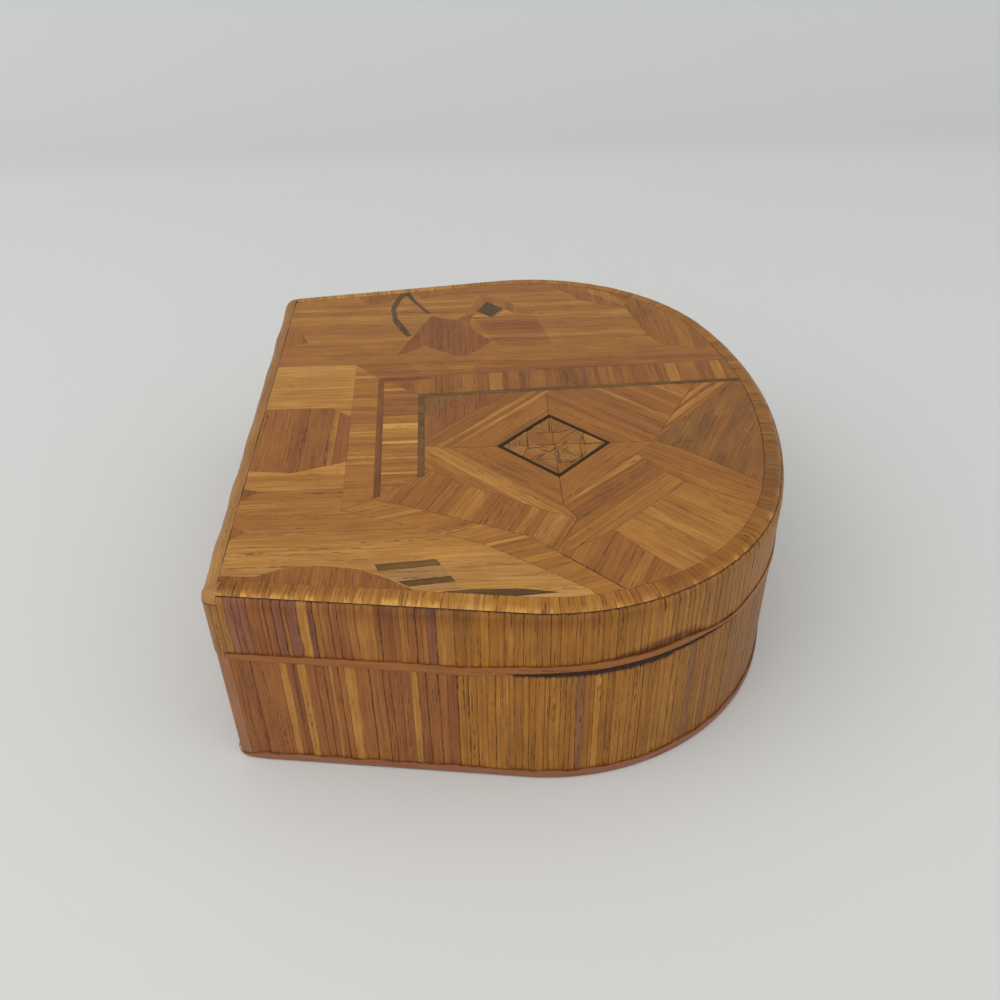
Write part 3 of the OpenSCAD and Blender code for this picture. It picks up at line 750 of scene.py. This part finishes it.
def solids_of(node):
    """The separate solids of a node as bmeshes in mm."""
    whole = bmesh.new()
    whole.from_mesh(bpy.data.objects[node].data)
    bmesh.ops.scale(whole, vec=(1 / MM, 1 / MM, 1 / MM), verts=whole.verts)
    bmesh.ops.remove_doubles(whole, verts=whole.verts, dist=0.001)
    bmesh.ops.dissolve_limit(whole, angle_limit=0.01, verts=whole.verts, edges=whole.edges)
    seen = set()
    solids = []
    for vert in whole.verts:
        if vert in seen:
            continue
        seen.add(vert)
        part = [vert]
        for at in part:
            for other in [edge.other_vert(at) for edge in at.link_edges]:
                if other not in seen:
                    seen.add(other)
                    part.append(other)
        solid = bmesh.new()
        made = {v: solid.verts.new(v.co) for v in part}
        for face in whole.faces:
            if face.verts[0] in made:
                solid.faces.new([made[v] for v in face.verts])
        solid.normal_update()
        solids.append(solid)
    whole.free()
    return solids


def middle_of(solid):
    return sum((v.co for v in solid.verts), Vector()) / len(solid.verts)


def inside(place, corners):
    """Whether a place lies in a convex outline."""
    turns = [(b[0] - a[0]) * (place[1] - a[1]) - (b[1] - a[1]) * (place[0] - a[0])
             for a, b in zip(corners, (*corners[1:], corners[0]))]
    return min(turns) > 0 or max(turns) < 0


# Cracks in the mosaic: darkness, and points from the lozenge's middle

LOZENGE_MIDDLE = (-16.0, -7.7)
MOSAIC_CRACKS = (
    (1.6, ((7.5, 0.4), (4.6, 0.4), (4.4, -1.6), (5.1, -3.5))),
    (1.4, ((4.4, 3.0), (4.4, 0.7))),
    (1.6, ((0.2, -0.3), (0.1, -1.8), (0.8, -2.7))),
    (2.2, ((-1.7, 2.5), (-2.6, 1.1), (-1.2, -0.3), (-2.5, -1.5), (-1.4, -2.5))),
    (2.2, ((1.6, 5.3), (-1.2, 5.2), (-0.8, 2.7))),
    (1.4, ((-5.1, 4.2), (-3.3, 2.3))),
    (2.2, ((-3.0, -0.6), (-6.5, -0.4), (-6.4, -2.8), (-5.1, -4.5))),
    (1.6, ((-2.9, -2.4), (-4.8, -4.7), (-3.3, -6.0))),
    (2.0, ((2.4, -6.0), (-0.2, -6.1), (0.1, -9.5))),
)


def crosses(solid, a, b):
    """Whether the line from a to b comes near the solid, in plan."""
    for axis in (0, 1):
        reach = [v.co[axis] for v in solid.verts]
        if max(a[axis], b[axis]) < min(reach) or min(a[axis], b[axis]) > max(reach):
            return False
    return True


def cracks(middle, chains):
    """Scores along chains of points, (darkness, points from the middle)."""
    made = []
    for dark, points in chains:
        placed = [(middle[0] + x, middle[1] + y) for x, y in points]
        made += [(a, b, dark) for a, b in zip(placed, placed[1:])]
    return made


def lines_of(solid, scores, patches):
    """The solid's own dark lines: (from, to, darkness, half the width)."""
    lines = [(a, b, dark, SCORE) for a, b, dark in scores if crosses(solid, a, b)]
    for corners, *_, dark in patches:
        lines += [(a, b, dark, GROOVE) for a, b in zip(corners, (*corners[1:], corners[0]))]
    return [(Vector((*a, 0)), Vector((*b, 0)), dark, half) for a, b, dark, half in lines]


def on_line(place, start, end):
    """Whether a place lies on the line from start to end, in plan."""
    run = (end - start).normalized()
    off = place - start
    return abs(off.x * run.y - off.y * run.x) < 0.01 and -0.1 < off.dot(run) < (end - start).length + 0.1


def split_sheet(piece, solid, grain, rng, straw_look, widths, marks=(), seams=(), faint=0.0, strong=0.5,
                rim=0.5, tilt=0.0, scores=(), patches=()):
    """Cuts one solid's top into straws. Grain is in degrees from +X."""
    rim = rng.uniform(*rim) if isinstance(rim, tuple) else rim
    scored = lines_of(solid, scores, patches)
    a = math.radians(grain)
    along = Vector((math.cos(a), math.sin(a), 0))
    across = Vector((-math.sin(a), math.cos(a), 0))
    top = [f for f in solid.faces if f.normal.z > 0.9]
    bmesh.ops.inset_region(solid, faces=top, thickness=0.06 + 0.15 * rim ** 2, use_even_offset=True,
                           use_boundary=True)
    reach = [v.co.dot(across) for v in solid.verts]
    straws = lay(min(reach) - rng.uniform(0, 0.8), max(reach), rng, widths, straw_look, marks, seams)
    darks = joint_darks(straws, rng, faint, strong, seams, SEAM_DARK)
    middle = middle_of(solid)
    lean = Vector((rng.uniform(-tilt, tilt), rng.uniform(-tilt, tilt), 0))
    joints = [(middle + (w[0] - middle.dot(across)) * across,
               (across + rng.uniform(-0.008, 0.008) * along).normalized(), dark)
              for w, dark in zip(straws[1:], darks[1:])]
    cuts = [(on + d * across, normal) for on, normal, _ in joints for d in (-GROOVE, 0.0, GROOVE)]
    for start, end, _, half in scored:
        run = (end - start).normalized()
        normal = Vector((-run.y, run.x, 0))
        cuts += [(start + d * normal, normal) for d in (-half, 0.0, half)] + [(start, run), (end, run)]
    for on, normal in cuts:
        solid.normal_update()
        faces = [f for f in solid.faces if f.normal.z > 0.9]
        edges = dict.fromkeys(e for f in faces for e in f.edges)
        verts = dict.fromkeys(v for f in faces for v in f.verts)
        bmesh.ops.bisect_plane(solid, geom=[*faces, *edges, *verts], plane_co=on, plane_no=normal,
                               dist=0.0005)
    solid.normal_update()
    made = {}
    for vert in solid.verts:
        joint = 0.0
        x, y, z = vert.co
        if z > SHEET_TOP - 0.2:
            wave = 0.06 * (0.5 + 0.5 * noise.noise(Vector((x, y, 3.0)) * 0.13))
            z = SHEET_TOP - 0.01 - wave - abs(tilt) * 2 + lean.dot(vert.co - middle)
            for on, normal, dark in joints:
                if abs((vert.co - on).dot(normal)) < 0.01:
                    joint = dark
                    z -= 0.01 + GROOVE_DEPTH * dark ** 2
            for start, end, dark, _ in scored:
                if on_line(vert.co, start, end):
                    joint = max(joint, dark)
                    z -= GROOVE_DEPTH * min(dark, 1.2)
            if any(f.normal.z < 0.5 for f in vert.link_faces):
                joint = max(joint, rim)
                z -= RIM_DEPTH * rim
        grain_at = (vert.co.dot(across), vert.co.dot(along))
        made[vert] = piece.point((x, y, min(z, SHEET_TOP - 0.01)), joint, grain_at)
    for face in solid.faces:
        centre = face.calc_center_median()
        cell = next((w for w in straws if centre.dot(across) < w[1]), straws[-1])[2:]
        for corners, tone, family, _ in patches:
            if inside(centre, corners):
                cell = (cell[0] + tone, cell[1] + family, cell[2])
        piece.face([made[v] for v in face.verts], cell)
    solid.free()


def sheet(node, slot, grain, tone, family, widths=(1.2, 2.2), spread=0.1, seed=0, **style):
    """Grain, tone and family are numbers, or functions of each solid's middle that give one.

    Instead of a tone there may be knots (place across the grain, tone, family).

    Scores are dark lines (from, to, darkness) and patches (corners, tone shift, family shift, darkness of
    the edge), in mm in plan."""
    rng = random.Random(100 + seed)
    piece = Piece()
    for solid in solids_of(node):
        middle = middle_of(solid)
        angle, base, hue = (v(middle) if callable(v) else v for v in (grain, tone, family))
        if isinstance(base, list):
            look = graded_look([(k[0], k[1] + LID_TONE, k[2]) for k in base], spread)
        else:
            look = plain_look(base + LID_TONE, hue, spread)
        split_sheet(piece, solid, angle, rng, look, widths, **style)
    piece.build(node + "_laid", slot, "lid", node)


# The walls

LIGHT = 0.7
SPLITS = [(13.4, 14.7, LIGHT, GOLD), (16.6, 18.1, LIGHT, GOLD), (22.0, 22.8, 0.62, 0.35),
          (24.8, 26.7, LIGHT, GOLD), (36.3, 37.5, LIGHT, GOLD)]
RED_SEAMS = (8.3, 21.1, 23.7, 29.1, 31.5, 39.0, 41.1)
CORNER_WIDTHS = (4.6, 4.8)
LID_SEAMS = (7.4, 9.7, 12.7, 14.1, 15.6, 18.0, 20.9, 23.7, 27.9, 32.0, 35.2, 38.0)


def twin(marks):
    """The same straws at the far side, mirrored."""
    return [(S_END - m[1], S_END - m[0], *m[2:]) for m in marks]


def lid_shade(s, z):
    """Painted shade, darker and browner, where the lid's wall curves in under its edge; painted shadow in the
    gap under the lifted band, where the straw is also sunk in; and darker, redder straw just above the band.
    """
    # Painted shade where the wall curves in under the edge, strongest near the top
    painted_curve_shade = between([(0, 0.05), (24, 0.1), (34, 0.2), (62, 0.24), (76, 0.12), (90, 0.04)], s, 1)
    high = min(1, max(0, (z - 36.6) / 1.8)) * min(1, max(0, (41.6 - z) / 1.0))
    # Painted shadow in the gap under the lifted band
    if 50 < s < 97 and z < 27.7:
        return (-0.4, 0.0, 0.2), 1.0
    # Darker, redder straw just above the lifted band
    red_strip_depth = between([(66, 28.8), (74, 30.6), (83, 31.5), (87, 30.8), (90, 28.8)], s, 1) - z
    if 67 < s < 90 and red_strip_depth > 0:
        share = min(1, 0.4 + red_strip_depth)
        return (-0.4 * share, -0.6 * share, 0.1), 0.0
    return (-painted_curve_shade * high, 0.0, 0.0), 0.0


def base_shade(s, z):
    """The shadow that the lifted band throws on the top of the base."""
    depth = between([(48, 0.0), (53, 0.4), (58, 0.9), (74, 0.9), (82, 0.5), (92, 0.0)], s, 1)
    return PLAIN, 1.0 if 48 < s < 92 and z > SEAM_H - depth else 0.0


def walls():
    base_red = graded_look([(4, 0.46, 0.0), (18, 0.5, 0.02), (30, 0.53, 0.06), (44, 0.5, 0.02)], 0.08)
    base_gold = graded_look([
        (44, 0.54, 0.44), (60, 0.53, 0.46), (80, 0.46, 0.5), (95, 0.45, 0.6), (110, 0.44, 0.8),
        (135, 0.44, 0.95), (174, 0.46, 0.9), (200, 0.5, 0.6), (264, 0.52, 0.45)], 0.08)
    corner = plain_look(0.7, 1.25, 0.03)
    wall("base_left_straws", "red", S_START + PANEL_JOINT, SIDE_END, BASE_ROWS, base_red, 11,
         marks=[(4.72, 6.1, 0.36, RED)] + SPLITS, seams=(*RED_SEAMS, SIDE_END), widths=(1.1, 2.0), faint=0.42)
    wall("base_front_straws", "tan", SIDE_END, FAR_SIDE, BASE_ROWS, base_gold, 12,
         marks=[(65.0, 66.2, 0.5, 1.3), (68.0, 69.2, 0.7, GOLD), (86.4, 87.8, 0.48, 1.3)],
         seams=(SIDE_END, 50.9, 60.2, 71.5, 76.8, 89.5, 97.0), widths=(0.8, 1.6), shade=base_shade, faint=0.6)
    wall("base_right_straws", "red", FAR_SIDE, S_END - S_START - PANEL_JOINT, BASE_ROWS, base_red,
         13, marks=twin(SPLITS), widths=(1.3, 2.2))
    wall("base_back_straws", "tan", -HINGE_LEN, 0, BASE_ROWS, plain_look(0.52, 0.8, 0.1), 14,
         faint=0.4)
    wall("base_left_corner_strip", "rose", 0.02, S_START, BASE_ROWS, corner, 15, CORNER_WIDTHS)
    wall("base_right_corner_strip", "rose", S_END - S_START, S_END - 0.02, BASE_ROWS, corner, 16,
         CORNER_WIDTHS)
    lid_left = graded_look([
        (0, 0.6, 0.8), (5.5, 0.6, 0.7), (7, 0.58, 0.1), (12, 0.5, 0.05), (18, 0.54, 0.1), (29, 0.52, 0.2),
        (34, 0.42, 0.1), (40, 0.48, 0.2), (44, 0.54, 0.36)], 0.07)
    lid_gold = graded_look([
        (44, 0.54, 0.4), (52, 0.55, 0.42), (62, 0.55, 0.46), (72, 0.54, 0.5), (80, 0.56, 0.56),
        (90, 0.52, 0.6), (105, 0.5, 0.62), (135, 0.5, 0.9), (174, 0.5, 0.9), (264, 0.52, 0.45)], 0.07)
    lid_marks = [
        (5.9, 7.3, 0.6, PLUM), (7.3, 8.4, 0.56, PLUM), (8.4, 9.7, 0.54, PLUM), (14.1, 15.6, 0.54, PLUM),
        (16.4, 18.0, 0.5, PLUM), (18.2, 19.8, 0.66, GOLD), (20.0, 20.9, 0.4, PLUM), (28.0, 31.2, 0.6, 0.4),
        (32.0, 34.2, 0.44, 0.02), (35.3, 36.6, 0.6, 0.4), (39.9, 41.4, 0.42, PLUM),
        (41.4, SIDE_END, 0.58, 0.46)]
    back_rows = [SEAM_H + k * (BOX_H - ROUND_R - 0.2 - SEAM_H) / 6 for k in range(7)]
    wall("lid_left_straws", "red", S_START, SIDE_END, LID_ROWS, lid_left, 21, marks=lid_marks,
         seams=LID_SEAMS, rolls=True, shade=lid_shade, faint=0.6)
    wall("lid_front_straws", "tan", SIDE_END, FAR_SIDE, LID_ROWS, lid_gold, 22, rolls=True,
         seams=(60.2, 82.5, 88.0, 92.0, 95.2, 100.1, 103.3, 107.2), shade=lid_shade, faint=0.5)
    wall("lid_right_straws", "red", FAR_SIDE, S_END - S_START, LID_ROWS, lid_left, 23,
         marks=twin(lid_marks[:-1]), rolls=True)
    wall("lid_back_straws", "tan", -HINGE_LEN - S_START, S_START, back_rows,
         plain_look(0.57, 0.95, 0.08), 24, faint=0.4)


def edges():
    near = graded_look([(4, 0.47, 0.45), (14, 0.54, 0.5), (24, 0.63, 0.55), (44, 0.75, 0.62)], 0.12)
    front = graded_look([
        (44, 0.72, 0.58), (60, 0.61, 0.45), (70, 0.52, 0.36), (80, 0.45, 0.32), (88, 0.42, 0.36),
        (95, 0.44, 0.42), (110, 0.36, 0.6), (125, 0.31, 0.8), (154, 0.42, 0.7), (264, 0.6, 0.5)], 0.09)
    edge_straws("lid_left_edge_straws", S_START, SIDE_END, (0.5, 1.0), near, 31, glint=0.85,
                merge=(-0.1, -0.22, 0.05))
    edge_straws("lid_front_edge_straws", SIDE_END, FAR_SIDE, (0.6, 1.6), front, 32, glint=0.55)
    edge_straws("lid_right_edge_straws", FAR_SIDE, S_END - S_START, (0.6, 1.2), near,
                33, glint=0.3)


# The inlay, sheet by sheet

def round_lozenge(middle):
    """Grain along each side of the lozenge."""
    x, y = LOZENGE_MIDDLE
    return -45 if (middle.x - x) * (middle.y - y) > 0 else 45


def turned_pieces(middle):
    return 45 * (int(7 * abs(middle.x) + 5 * abs(middle.y)) % 4)


def inlay():
    sheet("left_ground", "golden", -90,
          [(-60, 0.87, 0.66), (-50, 0.82, 0.6), (-46, 0.76, 0.6), (-38, 0.67, 0.58), (-33, 0.61, GOLD),
           (-22, 0.72, GOLD)], GOLD, (1.6, 3.4), strong=0.55, rim=0.6, seed=1,
          seams=(-46.7, -41.5, -36.5, -31.3, -27.3, -23.8),
          patches=[(((-53.1, 25.3), (-51.7, 14.8), (-58.7, 11.2), (-57.8, 18.9)), -0.03, 0.3, 0.45)])
    sheet("left_hill", "red", 0, 0.46, 0.25, (0.8, 2.0), strong=0.6, spread=0.15, rim=0.6, seed=2)
    sheet("left_bars_and_lens", "green", 97, lambda m: 0.5 if m.x > -53 else 0.33, GOLD, (0.8, 1.4),
          strong=0.8, rim=1.0, seed=3)
    sheet("hinge_side_red_block", "red", 0,
          [(30, 0.44, 0.12), (37, 0.45, 0.12), (40, 0.44, 0.25), (52, 0.46, 0.25)], RED, (1.2, 2.6),
          strong=0.4, rim=0.8, seed=4, marks=[(36.2, 37.2, 0.64, 0.4), (46.1, 47.2, 0.56, 0.1)],
          seams=(42.6,))
    sheet("hinge_side_gold_block", "golden", -90, 0.7, GOLD, (1.8, 3.4), strong=0.3, spread=0.05, seed=5,
          marks=[(1.0, 4.9, 0.72, GOLD), (4.9, 9.3, 0.69, GOLD), (9.3, 9.9, 0.84, GOLD),
                 (9.9, 14.1, 0.7, GOLD), (14.1, 17.4, 0.8, 0.6), (17.4, 20.6, 0.83, 0.6)])
    sheet("back_plain_band", "golden", -90, 0.61, 0.42, (0.9, 2.2), seed=6, seams=(-24.6, -19.9),
          marks=[(-9.4, -8.8, 0.78, 0.5), (-10.7, -10.2, 0.78, 0.5), (-18.4, -17.9, 0.8, 0.5)])
    sheet("back_transverse_band", "golden", -90,
          [(-28, 0.58, 0.4), (-16, 0.56, 0.3), (-13, 0.6, 0.4), (-8, 0.6, GOLD), (-4, 0.56, 0.4),
           (1, 0.52, 0.25), (7, 0.54, 0.3), (10, 0.58, 0.4)], GOLD, (0.7, 1.6), spread=0.12, strong=0.7,
          marks=[(-24.4, -23.7, 0.8, 0.5), (-19.2, -18.6, 0.84, 0.5), (-13.8, -12.8, 0.98, GOLD),
                 (-10.6, -8.1, 0.68, GOLD), (-8.0, -6.1, 0.98, GOLD), (7.4, 8.3, 0.74, GOLD)],
          seams=(-23.2, -16.4), seed=7)
    sheet("red_stringing", "rust", 0, 0.34, 0.1, (2.0, 3.0), strong=0.2, rim=0.7, seed=8)
    sheet("green_stringing", "green", 90, 0.5, GOLD, (2.0, 3.0), strong=0.3, rim=0.95, seed=9)
    sheet("right_transverse_band", "amber", 0, 0.39, 0.38, (0.9, 2.2), spread=0.12, seed=10,
          marks=[(-48.0, -45.7, 0.6, 0.5), (-37.6, -35.5, 0.6, 0.5), (-29.8, -27.3, 0.36, 0.25),
                 (-17.5, -16.1, 0.42, PLUM), (1.4, 4.2, 0.6, 0.4)], seams=(4.8, 6.9))
    sheet("right_border_band", "amber", -90, 0.46, 0.3, (1.5, 2.6), rim=0.7, seed=11,
          patches=[(((20.4, 23.4), (13.9, 19.1), (14.2, 11.7), (19.0, 15.0)), 0.05, 0.15, 0.6),
                   (((19.0, 15.0), (14.2, 11.7), (14.3, 8.2), (18.8, 6.5)), 0.1, 0.15, 0.3)])
    sheet("left_transverse_band", "red", -27, 0.54, 0.3, (1.0, 2.0), strong=0.6, rim=0.8, seed=12,
          marks=[(-25.6, -21.7, 0.62, 0.7), (-19.7, -18.3, 0.68, 0.4), (-16.4, -11.6, 0.47, 0.15),
                 (-8.7, -5.1, 0.6, 0.45)],
          seams=(-26.2, -21.6, -16.6, -11.4, -8.9, -4.9, -2.9, -2.0, -1.1, 4.6))
    sheet("left_border_band", "amber", -74, 0.58, 0.42, (0.9, 2.2), rim=0.95, seed=13,
          marks=[(-43.6, -43.0, 0.84, 0.6), (-38.2, -37.4, 0.8, 0.6), (-29.9, -29.2, 0.8, 0.6)],
          seams=(-51.0, -44.4, -42.8, -37.2, -29.0))
    sheet("diagonal_striped_band", "amber", -47.5, 0.49, 0.35, (0.7, 1.5), faint=0.2, strong=0.9,
          spread=0.14, marks=[(-57.5, -54.7, 0.66, 0.6), (-54.3, -51.9, 0.42, 0.3), (-51.4, -50.1, 0.62, 0.5),
                              (-50.0, -48.9, 0.38, 0.3), (-45.6, -44.6, 0.62, 0.5)],
          seams=(-54.5, -48.7, -41.5), seed=14)
    sheet("lozenge_plain_band", "amber", round_lozenge, 0.48, 0.35, (1.8, 3.2), strong=0.3, spread=0.06,
          rim=0.7, seed=15)
    sheet("lozenge_stringing", "black", round_lozenge, 0.4, GOLD, (2.0, 3.0), seed=16)
    sheet("lozenge_mosaic", "pale", turned_pieces, 0.49, 0.66, (1.8, 3.4), strong=0.3, spread=0.12,
          rim=(0.0, 0.25), tilt=0.02, seed=17, scores=cracks(LOZENGE_MIDDLE, MOSAIC_CRACKS))
    sheet("lozenge_upper_left_band", "amber", 45, 0.56, 0.4, strong=0.6, spread=0.08, seed=18,
          marks=[(22.0, 24.4, 0.68, 0.5)], seams=(24.6,), rim=0.8)
    sheet("lozenge_upper_right_band", "amber", -45, 0.45, 0.35, seed=19, seams=(-3.05,),
          marks=[(-3.9, -3.15, 0.74, 0.5), (-2.9, -1.8, 0.66, 0.5), (-0.6, 0.3, 0.64, 0.5)])
    sheet("lozenge_lower_left_band", "red", -50,
          [(-44, 0.59, 0.6), (-37, 0.58, 0.55), (-36.3, 0.5, 0.12), (-33, 0.52, 0.15), (-31, 0.6, 0.4)],
          GOLD, (1.2, 2.4), strong=0.4, rim=0.7, seed=20, marks=[(-32.7, -31.2, 0.67, 0.5)],
          seams=(-42.6, -41.2, -39.6, -37.2, -32.8))
    sheet("lozenge_lower_right_band", "amber", lambda m: -44 if m.y < -30 else 45, 0.5, 0.28, (1.2, 2.4),
          marks=[(-29.6, -28.2, 0.64, 0.45), (-27.4, -26.2, 0.68, 0.5), (-17.9, -16.9, 0.66, 0.45)],
          seams=(-24.8,), seed=21)
    sheet("red_wedge", "red", 0, 0.45, 0.1, (1.6, 3.0), strong=0.15, spread=0.04, seed=22,
          scores=[((-12.7, 17.4), (-9.3, 13.9), 0.9)],
          patches=[(((-3.7, 17.7), (3.5, 10.1), (5.5, 18.5)), -0.08, 0.75, 0.75)])
    sheet("front_brown_triangle", "brown", -28, 0.37, 0.72, (1.8, 3.4), strong=0.1, spread=0.05, rim=0.8,
          scores=[((-17.0, -29.4), (-17.9, -31.2), 1.0), ((-17.9, -31.2), (-16.4, -33.2), 1.0),
                  ((-16.4, -33.2), (-16.9, -36.4), 0.8)], seed=23)
    sheet("front_gold_leaf", "golden", 52, 0.54, 0.4, (1.8, 3.2), strong=0.3, spread=0.05, seed=24)
    sheet("front_dark_strip", "brown", 51, 0.52, 0.4, rim=0.7, seed=25)
    sheet("front_gold_sheets", "golden", 45, 0.62, 0.58, (1.8, 3.4), spread=0.08, seed=26,
          seams=(8.3, 12.5), marks=[(8.3, 10.2, 0.6, 0.6), (10.2, 12.5, 0.7, GOLD)])
    sheet("right_ground", "golden", -90,
          [(19, 0.57, 0.42), (24, 0.58, 0.42), (29, 0.57, GOLD), (36, 0.57, GOLD), (48, 0.58, 0.45)], GOLD,
          (1.6, 3.4), strong=0.4, seed=27, seams=(19.7, 24.2, 28.8, 35.0, 41.3), rim=0.7,
          patches=[(((44.4, 8.3), (41.8, -8.3), (26.2, -11.0), (26.6, 1.4)), -0.05, -0.3, 0.4),
                   (((47.0, 22.2), (46.9, 19.7), (34.2, 19.9), (34.4, 23.1)), 0.04, 0.3, 0.0)])
    sheet("right_hills", "brown", 0, 0.43, 0.4, (1.8, 3.2), strong=0.25, seed=28,
          patches=[(((57.0, -20.2), (54.5, -27.0), (48.0, -32.1), (45.8, -30.6)), 0.2, 0.2, 0.4)])
    sheet("right_red_figure", "red", 0, 0.42, 0.15, (2.0, 3.6), strong=0.2, spread=0.06, seed=29)
    sheet("right_dark_inlays", "green", 0, 0.3, GOLD, (1.4, 2.4), strong=0.4, seed=30)
    sheet("right_pale_inlays", "pale", -90, 0.75, GOLD, (1.4, 2.4), strong=0.2, seed=34)


# The cloth of the hinge, one strip across the seam

CLOTH_HALF = 51.38
CLOTH_LOW = SEAM_H - 7.98
CLOTH_HIGH = SEAM_H + 7.98
CLOTH_T = 0.36
CLOTH_COLUMNS = 60
CLOTH_ROWS = 32
CLOTH_LOOK = (0.5, 0.5, 0.5)


def hinge_cloth():
    piece = Piece()
    sides = []
    for off in (0.0, CLOTH_T):
        grid = []
        for i in range(CLOTH_COLUMNS + 1):
            x = -CLOTH_HALF + 2 * CLOTH_HALF * i / CLOTH_COLUMNS
            fray = abs(0.05 * math.sin(9 * x))
            row = []
            for k in range(CLOTH_ROWS + 1):
                z = CLOTH_LOW + (CLOTH_HIGH - CLOTH_LOW) * k / CLOTH_ROWS
                lift = 0.03 * (1 + math.sin(2.1 * x + z)) * 0.5 if off else 0
                z += fray if k == 0 else (-fray if k == CLOTH_ROWS else 0)
                row.append(piece.point((x, BOX_D / 2 + 0.01 + off - lift, z), 0.0, (x, z)))
            grid.append(row)
        sides.append(grid)

    def quads(a, b):
        for here, there, far, near in zip(a, a[1:], b[1:], b):
            piece.face((here, there, far, near), CLOTH_LOOK)

    inner, outer = sides
    for grid in sides:
        for row, following in zip(grid, grid[1:]):
            quads(row, following)
    for k in (0, -1):
        quads([row[k] for row in inner], [row[k] for row in outer])
        quads(inner[k], outer[k])
    cloth = piece.build("hinge_cloth_strip", "hinge_cloth", None, "hinge_cloth_base_leaf",
                        "hinge_cloth_lid_leaf")
    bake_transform(cloth)


# Floor, backdrop and light

FLOOR_COLOUR = (0.627, 0.63, 0.618, 1)
WALL_COLOUR = (0.545, 0.56, 0.555, 1)
TURN_FROM = 0.262
TURN_TO = 0.312
WALL_X = 460
COVE_R = 200
COVE_STEPS = 24
STAGE_TOP = 900
STAGE_REACH = 2600
WORLD_STRENGTH = 1.06
WINDOW_PLACE = (-260, 620, 560)
WINDOW_TARGET = (0, 0, 10)
WINDOW_SIZE = (800, 600)
WINDOW_WATTS = 1.7
WINDOW_COLOUR = (1.0, 0.99, 0.97)


def stage_material():
    """A pale card whose tone changes softly behind the box, where it turns up."""
    g = Graph("card")
    turn = g.fit(g.node("SeparateXYZ", (g.place(),))[0], TURN_FROM, TURN_TO)
    turn.node.interpolation_type = "SMOOTHSTEP"
    cloud = g.fit(g.noise(g.place(), 3.0, 2.0, 0.5), 0.3, 0.7, 0.985, 1.0)
    g.set("Base Color", g.vector("MULTIPLY", g.mix(turn, FLOOR_COLOUR, WALL_COLOUR), cloud))
    g.set("Roughness", 0.8)
    g.set("Specular IOR Level", 0.1)


def stage():
    profile = [(-STAGE_REACH, 0.0), (WALL_X - COVE_R, 0.0)]
    for k in range(1, COVE_STEPS + 1):
        a = 0.5 * math.pi * k / COVE_STEPS
        profile.append((WALL_X - COVE_R + COVE_R * math.sin(a), COVE_R * (1 - math.cos(a))))
    profile.append((WALL_X, STAGE_TOP))
    verts = [(x * MM, side * STAGE_REACH * MM, z * MM) for x, z in profile for side in (-1, 1)]
    faces = [(2 * i, 2 * i + 1, 2 * i + 3, 2 * i + 2) for i in range(len(profile) - 1)]
    mesh = bpy.data.meshes.new("backdrop")
    mesh.from_pydata(verts, [], faces)
    stage_material()
    mesh.materials.append(MATERIALS["card"])
    for polygon in mesh.polygons:
        polygon.use_smooth = True
    obj = add_object("backdrop", mesh)


def lights():
    world = bpy.data.worlds.new("world")
    world.use_nodes = True
    back = world.node_tree.nodes["Background"]
    back.inputs["Color"].default_value = (1.0, 1.0, 1.0, 1)
    back.inputs["Strength"].default_value = WORLD_STRENGTH
    bpy.context.scene.world = world
    window = bpy.data.lights.new("window", "AREA")
    window.shape = "RECTANGLE"
    window.size, window.size_y = (size * MM for size in WINDOW_SIZE)
    window.energy = WINDOW_WATTS
    window.color = WINDOW_COLOUR
    lamp = add_object("window", window)
    lamp.location = Vector(WINDOW_PLACE) * MM
    lamp.rotation_euler = (Vector(WINDOW_TARGET) - Vector(WINDOW_PLACE)).to_track_quat("-Z", "Y").to_euler()
    bpy.context.scene.view_settings.view_transform = "Standard"


def finish_carried_nodes():
    """The boards, linings and underside paper keep their solids from the part."""
    for entry in frame["record"]["subparts"]:
        slot = entry["material_slot"]
        if slot in ("carcass_wood", "lining_paper", "underside_paper"):
            for held in bpy.data.objects[entry["node"]].material_slots:
                held.material = MATERIALS[slot]


stage()
lights()
finish_carried_nodes()
walls()
edges()
hinge_edge_strip()
bands()
inlay()
hinge_cloth()
